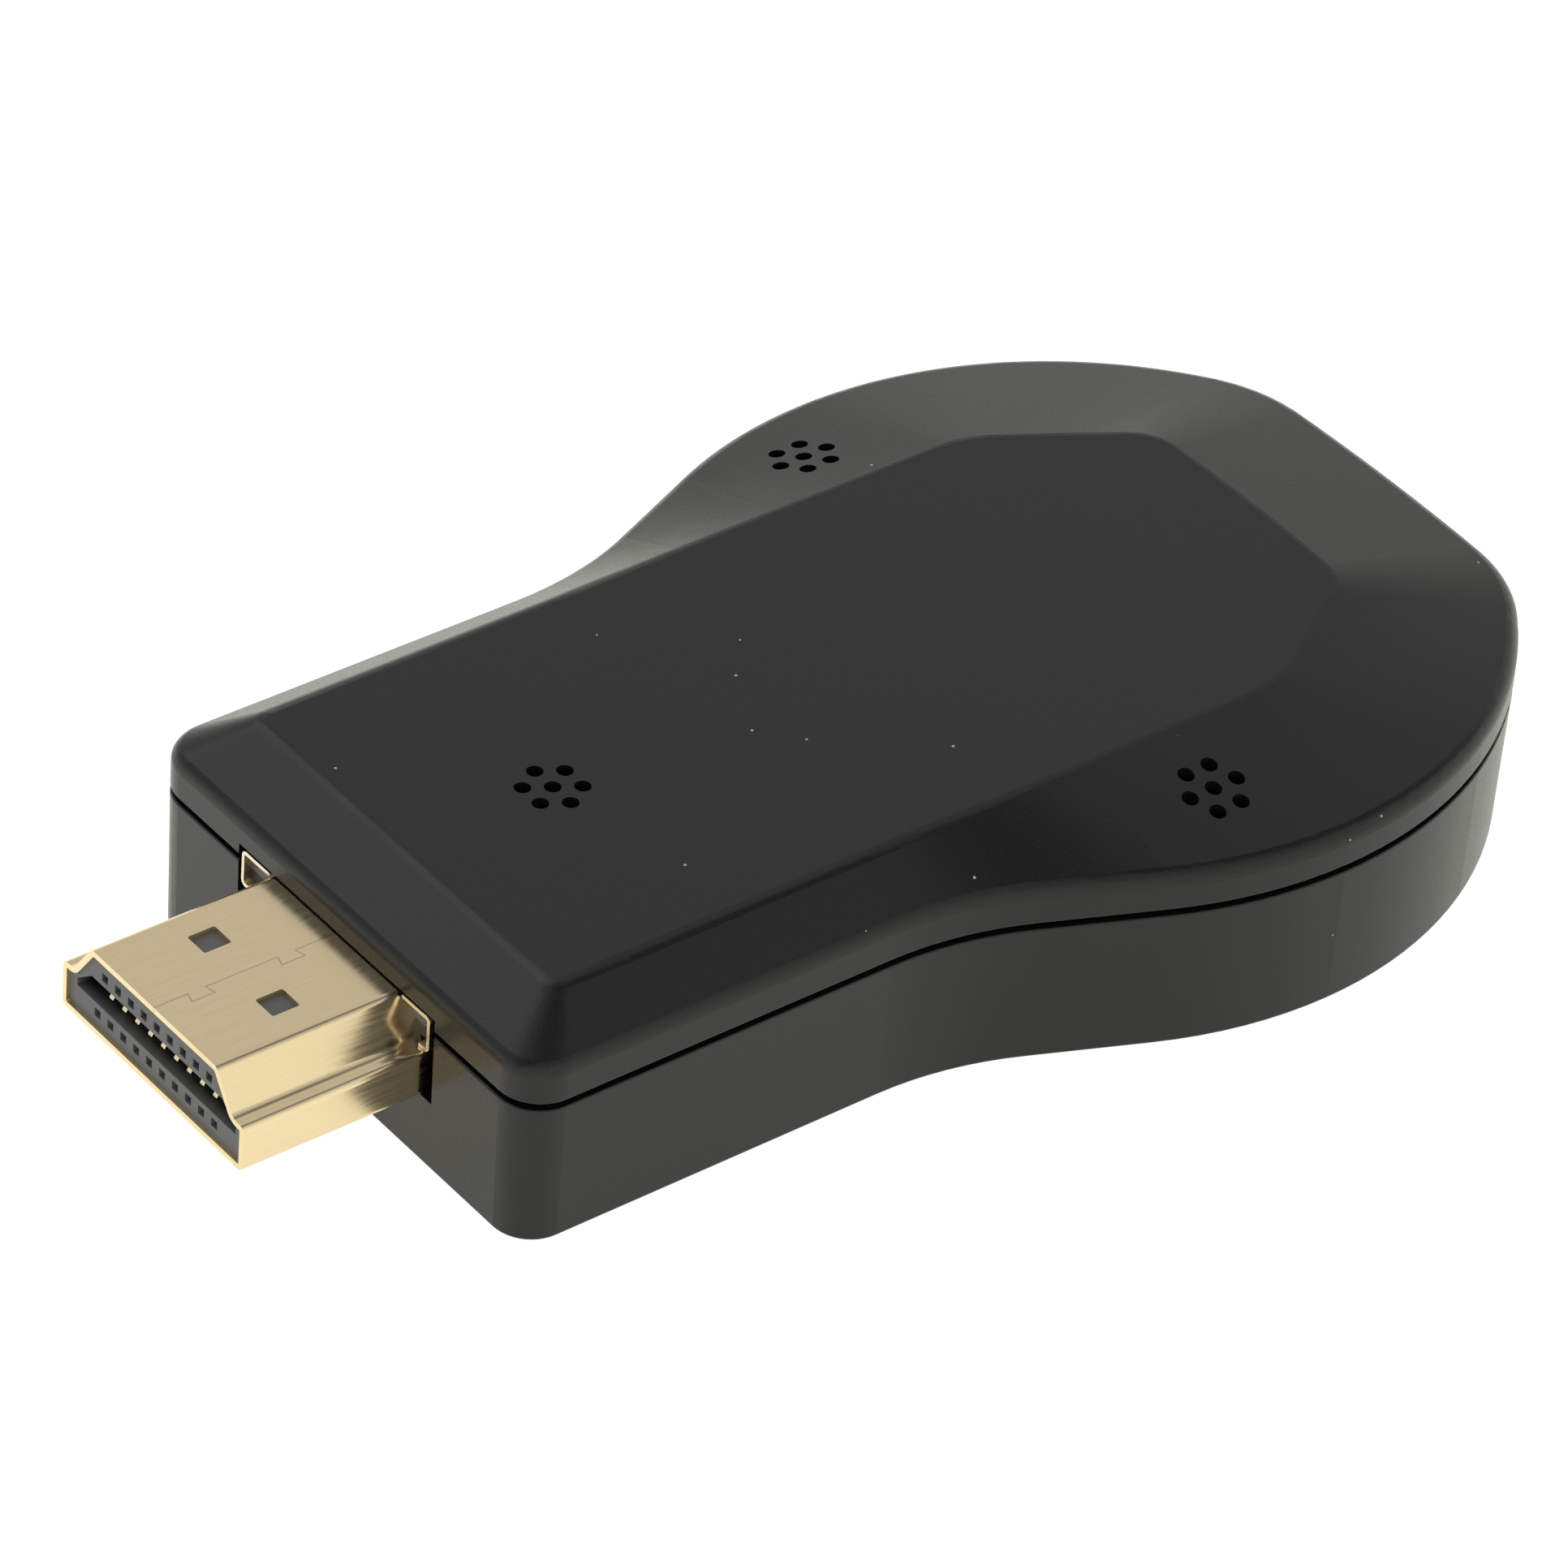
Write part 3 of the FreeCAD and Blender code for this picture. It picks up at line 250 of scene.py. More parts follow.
def case_plastic(look):
    """Black ABS moulded against a spark-eroded tool: even fine grain, satin, no flow marks."""
    material, tree, shader, place = start_material("black_abs_spark_eroded_mould")
    # The real grain is about 0.05 mm wide. It is drawn 2 to 3 times as coarse so that it shows.
    fine = grain(tree, place, look.grain)
    colours = (rgba(look.colour, 0.9), rgba(look.colour, 1.1))
    rough = around(look.gloss, 0.04)
    pigment = give_surface(tree, shader, fine, colours, rough, look.grain_depth)
    # Specks of dust: balls at random places cut the surface, one in each cell, 4 in 10 kept.
    cell, ball_r = 2 * MM, 0.07 * MM
    cells = add_node(tree, "ShaderNodeTexVoronoi", {"Vector": place, "Scale": 1 / cell})
    near = calc(tree, "LESS_THAN", cells.outputs["Distance"], ball_r / cell)
    split = add_node(tree, "ShaderNodeSeparateColor", {"Color": cells.outputs["Color"]})
    kept = calc(tree, "GREATER_THAN", split.outputs["Red"], 0.6)
    recolour(tree, shader, calc(tree, "MULTIPLY", near, kept), pigment, rgba(look.dust))
    shader.inputs["IOR"].default_value = 1.46
    return material


def moulding(name, colour, roughness, size=0.2 * MM, depth=0.003 * MM):
    """Moulded plastic: even colour and a fine grain."""
    material, tree, shader, place = start_material(name)
    fine = grain(tree, place, size)
    colours = (rgba(colour, 0.93), rgba(colour, 1.06))
    give_surface(tree, shader, fine, colours, around(roughness), depth)
    return material


def moulding_with_painted_slot_shade(name, colour, roughness, node):
    """Glass-filled nylon, moulded: satin faces, and painted shade that darkens the slot between its
    outer walls.
    """
    material, tree, shader, place = start_material(name)
    fine = grain(tree, place, 0.2 * MM)
    colours = (rgba(colour, 0.93), rgba(colour, 1.06))
    face = give_surface(tree, shader, fine, colours, around(roughness), 0.003 * MM)
    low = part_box(node)[0]
    # Painted shade: the slot darkens over its first 0.7 mm, and lies within 1.2 mm of its middle
    # height.
    slot_z, slot_reach = low[2] + 1.85 * MM, 1.2 * MM
    parts = add_node(tree, "ShaderNodeSeparateXYZ", {0: place})
    depth = ramp(tree, parts.outputs["Y"], low[1] + 0.05 * MM, low[1] + 0.7 * MM)
    away = calc(tree, "ABSOLUTE", calc(tree, "SUBTRACT", parts.outputs["Z"], slot_z))
    in_painted_shade = calc(tree, "LESS_THAN", away, slot_reach)
    recolour(tree, shader, calc(tree, "MULTIPLY", depth, in_painted_shade), face, rgba(colour, 0.12))
    return material


def sheet_metal(name, colour, roughness, stretch=(1, 1, 1), size=0.2 * MM, depth=0.0015 * MM):
    """Bare or plated metal whose roughness varies along its grain."""
    material, tree, shader, place = start_material(name)
    marks = grain(tree, place, size, stretch, detail=4.0)
    colours = (rgba(colour, 0.95), rgba(colour))
    give_surface(tree, shader, marks, colours, around(roughness), depth)
    shader.inputs["Metallic"].default_value = 1
    return material


def tin_share(tree, place, node, pitch, bare):
    """1 on the tinned ends of a row of chips, 0 on their bodies of length bare."""
    low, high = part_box(node)
    # An even number of chips has none on the row's middle.
    count = round((high[0] - low[0] - bare) / pitch) + 1
    shift = (low[0] + high[0]) / 2 + (0 if count % 2 else pitch / 2)
    across = coordinate(tree, place, "X")
    wrapped = calc(tree, "WRAP", across, shift + pitch / 2, shift - pitch / 2)
    away = calc(tree, "ABSOLUTE", calc(tree, "SUBTRACT", wrapped, shift))
    return calc(tree, "GREATER_THAN", away, bare / 2)


def chip_body(name, node, colour, pitch, bare, roughness=0.5):
    """Small sintered or moulded chip: dull body, and soft bright tin at both ends."""
    material, tree, shader, place = start_material(name)
    fine = grain(tree, place, 0.12 * MM)
    colours = (rgba(colour, 0.85), rgba(colour, 1.1))
    rough = (roughness - 0.1, roughness + 0.05)
    body = give_surface(tree, shader, fine, colours, rough, 0.004 * MM)
    share = tin_share(tree, place, node, pitch, bare)
    recolour(tree, shader, share, body, rgba(linear("cfcdc6")))
    tree.links.new(share, shader.inputs["Metallic"])
    return material


def epoxy_body(name, node, spots=()):
    """Black epoxy moulding compound: fine matt grain, and a smooth paler pin mark in a corner."""
    material, tree, shader, place = start_material(name)
    fine = grain(tree, place, 0.1 * MM)
    colours = (rgba(EPOXY, 0.85), rgba(EPOXY, 1.15))
    body = give_surface(tree, shader, fine, colours, (0.55, 0.7), 0.005 * MM)
    low, high = (Vector(corner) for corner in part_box(node))
    pin_r = 0.35 * MM
    marked = 0.0
    for across, along in spots:
        spot = Vector((low.x + across * MM, low.y + along * MM, high.z))
        far = add_node(tree, "ShaderNodeVectorMath", {0: place, 1: spot}, operation="DISTANCE")
        inside = calc(tree, "LESS_THAN", far.outputs["Value"], pin_r)
        marked = calc(tree, "MAXIMUM", inside, marked)
    recolour(tree, shader, marked, body, rgba(linear("3f4042")))
    return material


def solder_mask(name, node, colour):
    """Solder mask over copper on glass-epoxy: tracks stand out a little, bare edges are dull."""
    material, tree, shader, place = start_material(name)
    weave = grain(tree, place, 0.3 * MM, (1, 1, 6))
    give_surface(tree, shader, weave, (rgba(colour), rgba(colour)), (0.28, 0.4), 0.003 * MM)
    cells = add_node(tree, "ShaderNodeTexVoronoi", {"Vector": place, "Scale": 1 / (1.7 * MM)},
                     feature="DISTANCE_TO_EDGE")
    # Tracks are about 0.16 mm wide.
    track = calc(tree, "LESS_THAN", cells.outputs["Distance"], 0.08 / 1.7)
    mask = mix(tree, track, rgba(colour), rgba(colour, 1.9))
    low, high = (corner[2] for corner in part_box(node))
    height = coordinate(tree, place, "Z")
    away = calc(tree, "ABSOLUTE", calc(tree, "SUBTRACT", height, (low + high) / 2))
    edge = calc(tree, "LESS_THAN", away, (high - low) / 2 - 0.04 * MM)
    recolour(tree, shader, edge, mask, rgba(linear("939a6b")))
    return material


def layered(name, height, lower, upper, roughness, metal=0.0):
    """Body of two stacked materials that meet at one height."""
    material, tree, shader, place = start_material(name)
    fine = grain(tree, place, 0.15 * MM)
    colours = (rgba(upper), rgba(upper, 0.9))
    top = give_surface(tree, shader, fine, colours, around(roughness), 0.002 * MM)
    under = calc(tree, "LESS_THAN", coordinate(tree, place, "Z"), height)
    recolour(tree, shader, under, top, rgba(lower))
    tree.links.new(ramp(tree, under, 0, 1, metal, 0), shader.inputs["Metallic"])
    return material


def clear_plastic():
    """Clear polycarbonate, polished mould: bright edges, and faint flow lines along the pipe."""
    material, tree, shader, place = start_material("clear_polycarbonate_polished_mould")
    flow = grain(tree, place, 0.5 * MM, (1, 0.2, 1))
    colours = (rgba(linear("eef2f2")), rgba(linear("f8fafa")))
    give_surface(tree, shader, flow, colours, (0.06, 0.14), 0.002 * MM)
    shader.inputs["Transmission Weight"].default_value = 0.9
    shader.inputs["IOR"].default_value = 1.585
    return material


def dress(material, *nodes):
    """Give CAD nodes a material of this scene."""
    for node in nodes:
        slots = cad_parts[node].data.materials
        slots.clear()
        slots.append(material)


def section_face(shape, points, y):
    """Upright face at y through points of x and z, and its corner vertices in the same order."""
    corners = [shape.verts.new((x, y, z)) for x, z in points]
    shape.faces.new(corners)
    return corners


def round_corners(shape, corners, offset, segments=5):
    """Round corners of a flat face."""
    bmesh.ops.bevel(shape, geom=corners, offset=offset, offset_type="OFFSET", segments=segments,
                    profile=0.5, affect="VERTICES", material=-1)


def draw_tube(shape, length):
    """Open tube along +y from the outline of the shape's only face."""
    outline = list(shape.edges)
    bmesh.ops.delete(shape, geom=list(shape.faces), context="FACES_ONLY")
    grown = bmesh.ops.extrude_edge_only(shape, edges=outline)["geom"]
    ends = [part for part in grown if isinstance(part, bmesh.types.BMVert)]
    bmesh.ops.translate(shape, verts=ends, vec=(0, length, 0))
    bmesh.ops.recalc_face_normals(shape, faces=list(shape.faces))


def add_box(shape, low, high):
    """Box between two corners. Returns its edges."""
    made = bmesh.ops.create_cube(shape, size=1)["verts"]
    low, high = Vector(low), Vector(high)
    bmesh.ops.scale(shape, verts=made, vec=high - low)
    bmesh.ops.translate(shape, verts=made, vec=(low + high) / 2)
    return list({edge for vert in made for edge in vert.link_edges})


def bevel_edges(shape, edges, offset, segments=2):
    """Round edges by offset."""
    bmesh.ops.bevel(shape, geom=edges, offset=offset, offset_type="OFFSET", segments=segments,
                    profile=0.5, affect="EDGES", material=-1)


def cut_at(shape, point, normal):
    """Cut every face along a plane."""
    geometry = list(shape.verts) + list(shape.edges) + list(shape.faces)
    bmesh.ops.bisect_plane(shape, geom=geometry, plane_co=point, plane_no=normal)


def link_piece(shape, name):
    """Object with this mesh, in the scene."""
    mesh = bpy.data.meshes.new(name)
    shape.to_mesh(mesh)
    shape.free()
    piece = bpy.data.objects.new(name, mesh)
    bpy.context.scene.collection.objects.link(piece)
    return piece


def settle(piece):
    """Apply the piece's modifiers."""
    depsgraph = bpy.context.evaluated_depsgraph_get()
    settled = bpy.data.meshes.new_from_object(piece.evaluated_get(depsgraph))
    piece.modifiers.clear()
    piece.data = settled


def combine(piece, tool, operation):
    """Cut the tool out of the piece, or join it on, and remove the tool."""
    change = piece.modifiers.new("change", "BOOLEAN")
    change.operation = operation
    change.solver = "EXACT"
    change.object = tool
    settle(piece)
    bpy.data.objects.remove(tool)


def thicken(piece, thickness):
    """Give a sheet its thickness on its inner side."""
    wall = piece.modifiers.new("wall", "SOLIDIFY")
    wall.thickness = thickness
    wall.offset = -1
    wall.use_even_offset = True
    settle(piece)


def break_edges(piece, width, segments=2, angle=50):
    """Round every edge that is sharper than an angle."""
    worn = piece.modifiers.new("worn", "BEVEL")
    worn.width = width
    worn.segments = segments
    worn.limit_method = "ANGLE"
    worn.angle_limit = math.radians(angle)
    worn.use_clamp_overlap = True
    settle(piece)


def finish_piece(piece, material, body, node, sharp=32):
    """Shade a piece, give it its material and body, and let it stand for its CAD node."""
    mesh = piece.data
    mesh.shade_smooth()
    mesh.set_sharp_from_angle(angle=math.radians(sharp))
    mesh.materials.clear()
    mesh.materials.append(material)
    flat = piece.modifiers.new("flat", "WEIGHTED_NORMAL")
    flat.keep_sharp = True
    settle(piece)
    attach(piece, body)
    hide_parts(node)


class ADAPTER_OT_studio(bpy.types.Operator):
    """Add the camera, the floor, the soft box and the sky"""

    bl_idname = "adapter.studio"
    bl_label = "Studio"

    def execute(self, context):
        look = context.scene.adapter_studio
        scene = context.scene
        scene.view_settings.view_transform = "Standard"

        data = bpy.data.cameras.new("camera")
        data.lens = look.lens
        data.sensor_width = 36
        data.clip_start = 0.01
        data.clip_end = 20
        camera = bpy.data.objects.new("camera", data)
        turn = Matrix.Rotation(look.azimuth, 4, "Z")
        tilt = Matrix.Rotation(math.radians(90) - look.elevation, 4, "X")
        roll = Matrix.Rotation(look.roll, 4, "Z")
        camera.matrix_world = Matrix.Translation(look.place) @ turn @ tilt @ roll
        scene.collection.objects.link(camera)
        scene.camera = camera

        shape = bmesh.new()
        bmesh.ops.create_grid(shape, x_segments=1, y_segments=1, size=3.0)
        floor = link_piece(shape, "floor")
        # Just under the object, so that its flat underside doesn't flicker against it
        floor.location.z = -0.02 * MM
        floor.data.materials.append(self.floor_paint(look))

        lamp_data = bpy.data.lights.new("soft_box", "AREA")
        lamp_data.shape = "SQUARE"
        lamp_data.size = look.lamp_size
        lamp_data.energy = look.lamp
        lamp_data.color = look.lamp_colour
        lamp = bpy.data.objects.new("soft_box", lamp_data)
        lamp.location = look.lamp_place
        lamp.rotation_euler = (-lamp.location).to_track_quat("-Z", "Y").to_euler()
        scene.collection.objects.link(lamp)
        scene.world = self.sky(look)
        return {"FINISHED"}

    def sky(self, look):
        """White room: brighter and warmer towards the horizon, with a gap overhead."""
        world = bpy.data.worlds.new("studio_sky")
        world.use_nodes = True
        tree = world.node_tree
        tree.nodes.clear()
        way = add_node(tree, "ShaderNodeTexCoord").outputs["Generated"]
        # The horizon's light reaches higher on the object's right.
        lean, full, faded = (-0.25, 0, 1), 0.15, 0.7
        low = add_node(tree, "ShaderNodeVectorMath", {0: way, 1: lean}, operation="DOT_PRODUCT")
        near = ramp(tree, low.outputs["Value"], full, faded, 1, 0, "SMOOTHSTEP")
        glow = calc(tree, "MULTIPLY_ADD", near, look.horizon, look.sky)
        tint = mix(tree, near, WHITE, rgba(look.haze))
        # The gap runs along the object overhead, a little to its right.
        gap_middle, gap_dark, gap_edge = 0.12, 0.1, 0.32
        parts = add_node(tree, "ShaderNodeSeparateXYZ", {0: way})
        across = calc(tree, "DIVIDE", parts.outputs["X"], parts.outputs["Z"])
        aside = calc(tree, "ABSOLUTE", calc(tree, "SUBTRACT", across, gap_middle))
        gap = ramp(tree, aside, gap_dark, gap_edge, look.shade, 0, "SMOOTHSTEP")
        level = calc(tree, "SUBTRACT", glow, gap)
        light = add_node(tree, "ShaderNodeBackground", {"Color": tint, "Strength": level})
        add_node(tree, "ShaderNodeOutputWorld", {"Surface": light.outputs[0]})
        return world

    def floor_paint(self, look):
        """White painted board, lifted to white for the camera and partly for mirror rays, with
        painted light brighter in mirror rays on the soft box's side.
        """
        material, tree, shader, place = start_material("white_painted_board")
        path = add_node(tree, "ShaderNodeLightPath")
        camera = path.outputs["Is Camera Ray"]
        glossy, through = path.outputs["Is Glossy Ray"], path.outputs["Is Transmission Ray"]
        mirror = calc(tree, "MAXIMUM", glossy, through)
        # Painted light and shade: in mirror rays the floor shines more on the soft box's side of
        # the object than in its shade.
        across = coordinate(tree, place, "X")
        painted_side_light = ramp(tree, across, -25 * MM, 5 * MM, 1, 0.8, "SMOOTHSTEP")
        seen = calc(tree, "MAXIMUM", camera, calc(tree, "MULTIPLY", mirror, painted_side_light))
        recolour(tree, shader, seen, rgba(look.floor), rgba(look.floor, 0.3))
        shader.inputs["Roughness"].default_value = 0.9
        shader.inputs["Specular IOR Level"].default_value = 0.1
        tint = mix(tree, camera, rgba(look.haze), WHITE)
        tree.links.new(tint, shader.inputs["Emission Color"])
        tree.links.new(calc(tree, "MULTIPLY", seen, 0.97), shader.inputs["Emission Strength"])
        return material


class ADAPTER_OT_case(bpy.types.Operator):
    """Dress the two case halves"""

    bl_idname = "adapter.case"
    bl_label = "Case"

    def execute(self, context):
        dress(case_plastic(context.scene.adapter_case), "upper_shell", "lower_shell")
        return {"FINISHED"}


class ADAPTER_OT_plug(bpy.types.Operator):
    """Form the plug's shell with its bends, windows, seam and legs, and dress what it holds"""

    bl_idname = "adapter.plug"
    bl_label = "Display plug"

    def execute(self, context):
        look = context.scene.adapter_plug
        drawn = (1, 0.04, 1)
        gold = sheet_metal(
            "gold_plated_drawn_steel", look.plating, 0.19, drawn, 0.16 * MM, 0.0012 * MM)
        self.form_shell(look, gold)
        self.bend_sleeve(sheet_metal("flash_gold_spring_steel", linear("f2e6cf"), 0.25, drawn))
        # The insulator's slot gets painted shade in its colour.
        nylon = moulding_with_painted_slot_shade(
            "blue_grey_glass_filled_nylon", look.insulator, 0.45, "plug_insulator")
        dress(nylon, "plug_insulator")
        contact = sheet_metal("gold_flashed_phosphor_bronze", linear("f4e6c4"), 0.22, (1, 0.1, 1))
        dress(contact, "plug_upper_contacts", "plug_lower_contacts", "power_socket_contacts")
        return {"FINISHED"}

    def form_shell(self, look, gold):
        """Fold the sheet round the plug's section, then pierce, trim and seam it."""
        z = PLUG_LOW.z
        side, ledge, top = PLUG_HIGH.x, 6.15 * MM, 4.8 * MM
        step, height = z + 2.5 * MM, PLUG_HIGH.z
        wall = 0.3 * MM
        half = [(side, z), (side, step), (ledge, step), (top, height)]
        shape = bmesh.new()
        points = half + [(-x, up) for x, up in reversed(half)]
        corners = section_face(shape, points, PLUG_LOW.y)
        folds = [[corners[i], corners[-1 - i]] for i in range(4)]
        for fold, offset in zip(folds, (look.bend, look.bend, look.hollow_bend, look.bend * 0.6)):
            round_corners(shape, fold, offset)
        draw_tube(shape, PLUG_HIGH.y - PLUG_LOW.y)
        piece = link_piece(shape, "plug_shell_formed")
        thicken(piece, wall)

        # Behind the case's front the shell loses its slopes, and then all but its two legs.
        case_y = PLUG_LOW.y + 9.65 * MM
        narrow_y = case_y + 1.5 * MM
        leg_y = case_y + 5.4 * MM
        far = PLUG_HIGH.y + MM
        wide = side + MM
        inner = side - wall - 0.01 * MM
        shape = bmesh.new()
        add_box(shape, (-wide, narrow_y, step), (wide, far, height + MM))
        trim = link_piece(shape, "trim")
        combine(piece, trim, "DIFFERENCE")
        for low, high in (
            ((-wide, leg_y, z - MM), (wide, far, z + 0.9 * MM)),
            ((-wide, leg_y, z + 2.2 * MM), (wide, far, height + MM)),
            ((-inner, leg_y, z - MM), (inner, far, height + MM)),
        ):
            shape = bmesh.new()
            add_box(shape, low, high)
            combine(piece, link_piece(shape, "trim"), "DIFFERENCE")

        shape = bmesh.new()
        window_half, window_y, window_long = 0.675 * MM, PLUG_LOW.y + 4.0 * MM, 1.45 * MM
        for x in (-2.6 * MM, 2.6 * MM):
            low = (x - window_half, window_y, z - MM)
            edges = add_box(shape, low, (x + window_half, window_y + window_long, height + MM))
            ends = [[vert.co.z for vert in edge.verts] for edge in edges]
            upright = [edge for edge, (one, other) in zip(edges, ends) if abs(one - other) > MM]
            bevel_edges(shape, upright, 0.1 * MM, 3)
        combine(piece, link_piece(shape, "piercing"), "DIFFERENCE")
        break_edges(piece, 0.06 * MM)

        combine(piece, self.seam_tool(look, case_y), "DIFFERENCE")
        finish_piece(piece, gold, BODY, "plug_shell")

    def seam_tool(self, look, case_y):
        """Thin upright ribbon along the seam, with two dovetail locks."""
        path = [(0, PLUG_LOW.y - MM)]
        for lock_y in (PLUG_LOW.y + 2.25 * MM, PLUG_LOW.y + 7.0 * MM):
            for x, y in ((0, -0.45), (0.55, -0.6), (0.55, 0.6), (0, 0.45)):
                path.append((x * MM, lock_y + y * MM))
        path.append((0, case_y + 1.6 * MM))
        shape = bmesh.new()
        low_z = PLUG_HIGH.z - 0.6 * MM
        line = [shape.verts.new((x, y, low_z)) for x, y in path]
        edges = [shape.edges.new(pair) for pair in zip(line, line[1:])]
        grown = bmesh.ops.extrude_edge_only(shape, edges=edges)["geom"]
        tops = [part for part in grown if isinstance(part, bmesh.types.BMVert)]
        bmesh.ops.translate(shape, verts=tops, vec=(0, 0, MM))
        bmesh.ops.recalc_face_normals(shape, faces=list(shape.faces))
        tool = link_piece(shape, "seam")
        thicken(tool, look.seam)
        return tool

    def bend_sleeve(self, plate):
        """Bend the thin sleeve that opens the plug's rear out to a rectangle."""
        low, high = SLEEVE_LOW, SLEEVE_HIGH
        shape = bmesh.new()
        points = [(high.x, low.z), (high.x, high.z), (low.x, high.z), (low.x, low.z)]
        round_corners(shape, section_face(shape, points, low.y), 0.32 * MM, 6)
        draw_tube(shape, high.y - low.y)
        foot = high.x - 0.75 * MM
        notch, notch_y = 5.05 * MM, low.y + 1.6 * MM
        for x in (foot, notch):
            for side in (-1, 1):
                cut_at(shape, (side * x, 0, 0), (1, 0, 0))
        cut_at(shape, (0, notch_y, 0), (0, 1, 0))
        gone = []
        for face in shape.faces:
            middle = face.calc_center_median()
            below = middle.z < low.z + 0.01 * MM and abs(middle.x) < foot
            above = middle.z > high.z - 0.01 * MM and abs(middle.x) < notch and middle.y < notch_y
            if below or above:
                gone.append(face)
        bmesh.ops.delete(shape, geom=gone, context="FACES")
        piece = link_piece(shape, "plug_sleeve_bent")
        thicken(piece, 0.2 * MM)
        break_edges(piece, 0.03 * MM)
        finish_piece(piece, plate, BODY, "plug_sleeve")


class ADAPTER_OT_socket(bpy.types.Operator):
    """Form the power socket's shell with its lip, and dress its moulding"""

    bl_idname = "adapter.socket"
    bl_label = "Power socket"

    def execute(self, context):
        low, high = SOCKET_LOW, SOCKET_HIGH
        floor_z = high.z - 2.5 * MM
        shape = bmesh.new()
        half = [(2.75 * MM, floor_z), (high.x, floor_z + 1.1 * MM), (high.x, high.z)]
        points = half + [(-x, up) for x, up in reversed(half)]
        corners = section_face(shape, points, low.y)
        round_corners(shape, corners, 0.3 * MM)
        draw_tube(shape, high.y - low.y)
        lip_y = high.y - 0.45 * MM
        cut_at(shape, (0, lip_y, 0), (0, 1, 0))
        middle = Vector((0, 0, (floor_z + high.z) / 2))
        for vert in shape.verts:
            if vert.co.y > lip_y + 0.01 * MM:
                out = Vector((vert.co.x, 0, vert.co.z - middle.z)).normalized()
                vert.co += out * 0.1 * MM
        piece = link_piece(shape, "power_socket_shell_drawn")
        thicken(piece, 0.25 * MM)
        shape = bmesh.new()
        leg_y = high.y - 4.2 * MM
        for side in (-1, 1):
            near, far = sorted((side * high.x, side * (high.x - 0.25 * MM)))
            add_box(shape, (near, leg_y, BOARD_LOW.z), (far, leg_y + 1.2 * MM, floor_z + 1.4 * MM))
        combine(piece, link_piece(shape, "legs"), "UNION")
        break_edges(piece, 0.04 * MM)
        steel = sheet_metal("tin_plated_drawn_steel", linear("c6c6c3"), 0.26, (1, 0.15, 1))
        finish_piece(piece, steel, BODY, "power_socket_shell")
        polymer = moulding("black_liquid_crystal_polymer", linear("1a1a1b"), 0.42)
        dress(polymer, "power_socket_insulator")
        return {"FINISHED"}


class ADAPTER_OT_lamp(bpy.types.Operator):
    """Mould the light pipe with its domed end, and dress the lamp"""

    bl_idname = "adapter.lamp"
    bl_label = "Status lamp"

    def execute(self, context):
        low, high = PIPE_LOW, PIPE_HIGH
        # The flange stands inside the case's wall, 1.4 mm behind the pipe's outer end.
        flange, flange_y, flange_long = 0.35 * MM, high.y - 1.4 * MM, 0.4 * MM
        shape = bmesh.new()
        bar_top = high.z - flange
        edges = add_box(shape, (low.x + flange, low.y, low.z), (high.x - flange, high.y, bar_top))
        end_y = high.y - 0.01 * MM
        end = [edge for edge in edges if all(vert.co.y > end_y for vert in edge.verts)]
        bevel_edges(shape, end, 0.22 * MM, 5)
        piece = link_piece(shape, "light_pipe_moulded")
        shape = bmesh.new()
        add_box(shape, (low.x, flange_y - flange_long, low.z), (high.x, flange_y, high.z))
        combine(piece, link_piece(shape, "flange"), "UNION")
        break_edges(piece, 0.04 * MM, angle=70)
        finish_piece(piece, clear_plastic(), BODY, "light_pipe")
        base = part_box("status_lamp")[0][2] + 0.3 * MM
        lamp = layered("phosphor_epoxy_on_ceramic", base, linear("f1efe8"), linear("ead9a2"), 0.3)
        dress(lamp, "status_lamp")
        return {"FINISHED"}


class ADAPTER_OT_button(bpy.types.Operator):
    """Mould the mode button's cap, and dress the switch behind it"""

    bl_idname = "adapter.button"
    bl_label = "Mode button"

    def execute(self, context):
        low, high = CAP_LOW, CAP_HIGH
        flange_x = high.x - 0.7 * MM
        mid_y = (low.y + high.y) / 2
        tall, long = 1.6 * MM, 4.6 * MM
        low_z = low.z + 0.5 * MM
        shape = bmesh.new()
        corners = [
            shape.verts.new((high.x, mid_y + y * long / 2, low_z + z * tall))
            for y, z in ((-1, 0), (1, 0), (1, 1), (-1, 1))
        ]
        shape.faces.new(corners)
        round_corners(shape, corners, tall / 2 - 0.002 * MM, 12)
        outline = list(shape.faces)
        grown = bmesh.ops.extrude_face_region(shape, geom=outline)["geom"]
        outer = [part for part in grown if isinstance(part, bmesh.types.BMVert)]
        bmesh.ops.translate(shape, verts=outer, vec=(low.x - high.x, 0, 0))
        bmesh.ops.recalc_face_normals(shape, faces=list(shape.faces))
        rim_x = low.x + 0.01 * MM
        rim = [edge for edge in shape.edges if all(vert.co.x < rim_x for vert in edge.verts)]
        bevel_edges(shape, rim, 0.16 * MM, 5)
        piece = link_piece(shape, "mode_button_cap")
        shape = bmesh.new()
        add_box(shape, (flange_x, low.y, low.z), (high.x, high.y, high.z))
        combine(piece, link_piece(shape, "flange"), "UNION")
        break_edges(piece, 0.05 * MM, angle=60)
        cap = moulding("black_abs_fine_satin_mould", linear("1c1c1b"), 0.3)
        finish_piece(piece, cap, BUTTON, "mode_button")

        dress(moulding("black_nylon_switch_body", linear("1d1d1f"), 0.5), "switch_housing")
        dress(moulding("natural_acetal", linear("dcd8cb"), 0.35), "switch_plunger")
        dress(sheet_metal("rolled_stainless_spring", linear("c9c7c1"), 0.24, (1, 0.1, 1)),
              "switch_dome", "switch_cover")
        return {"FINISHED"}


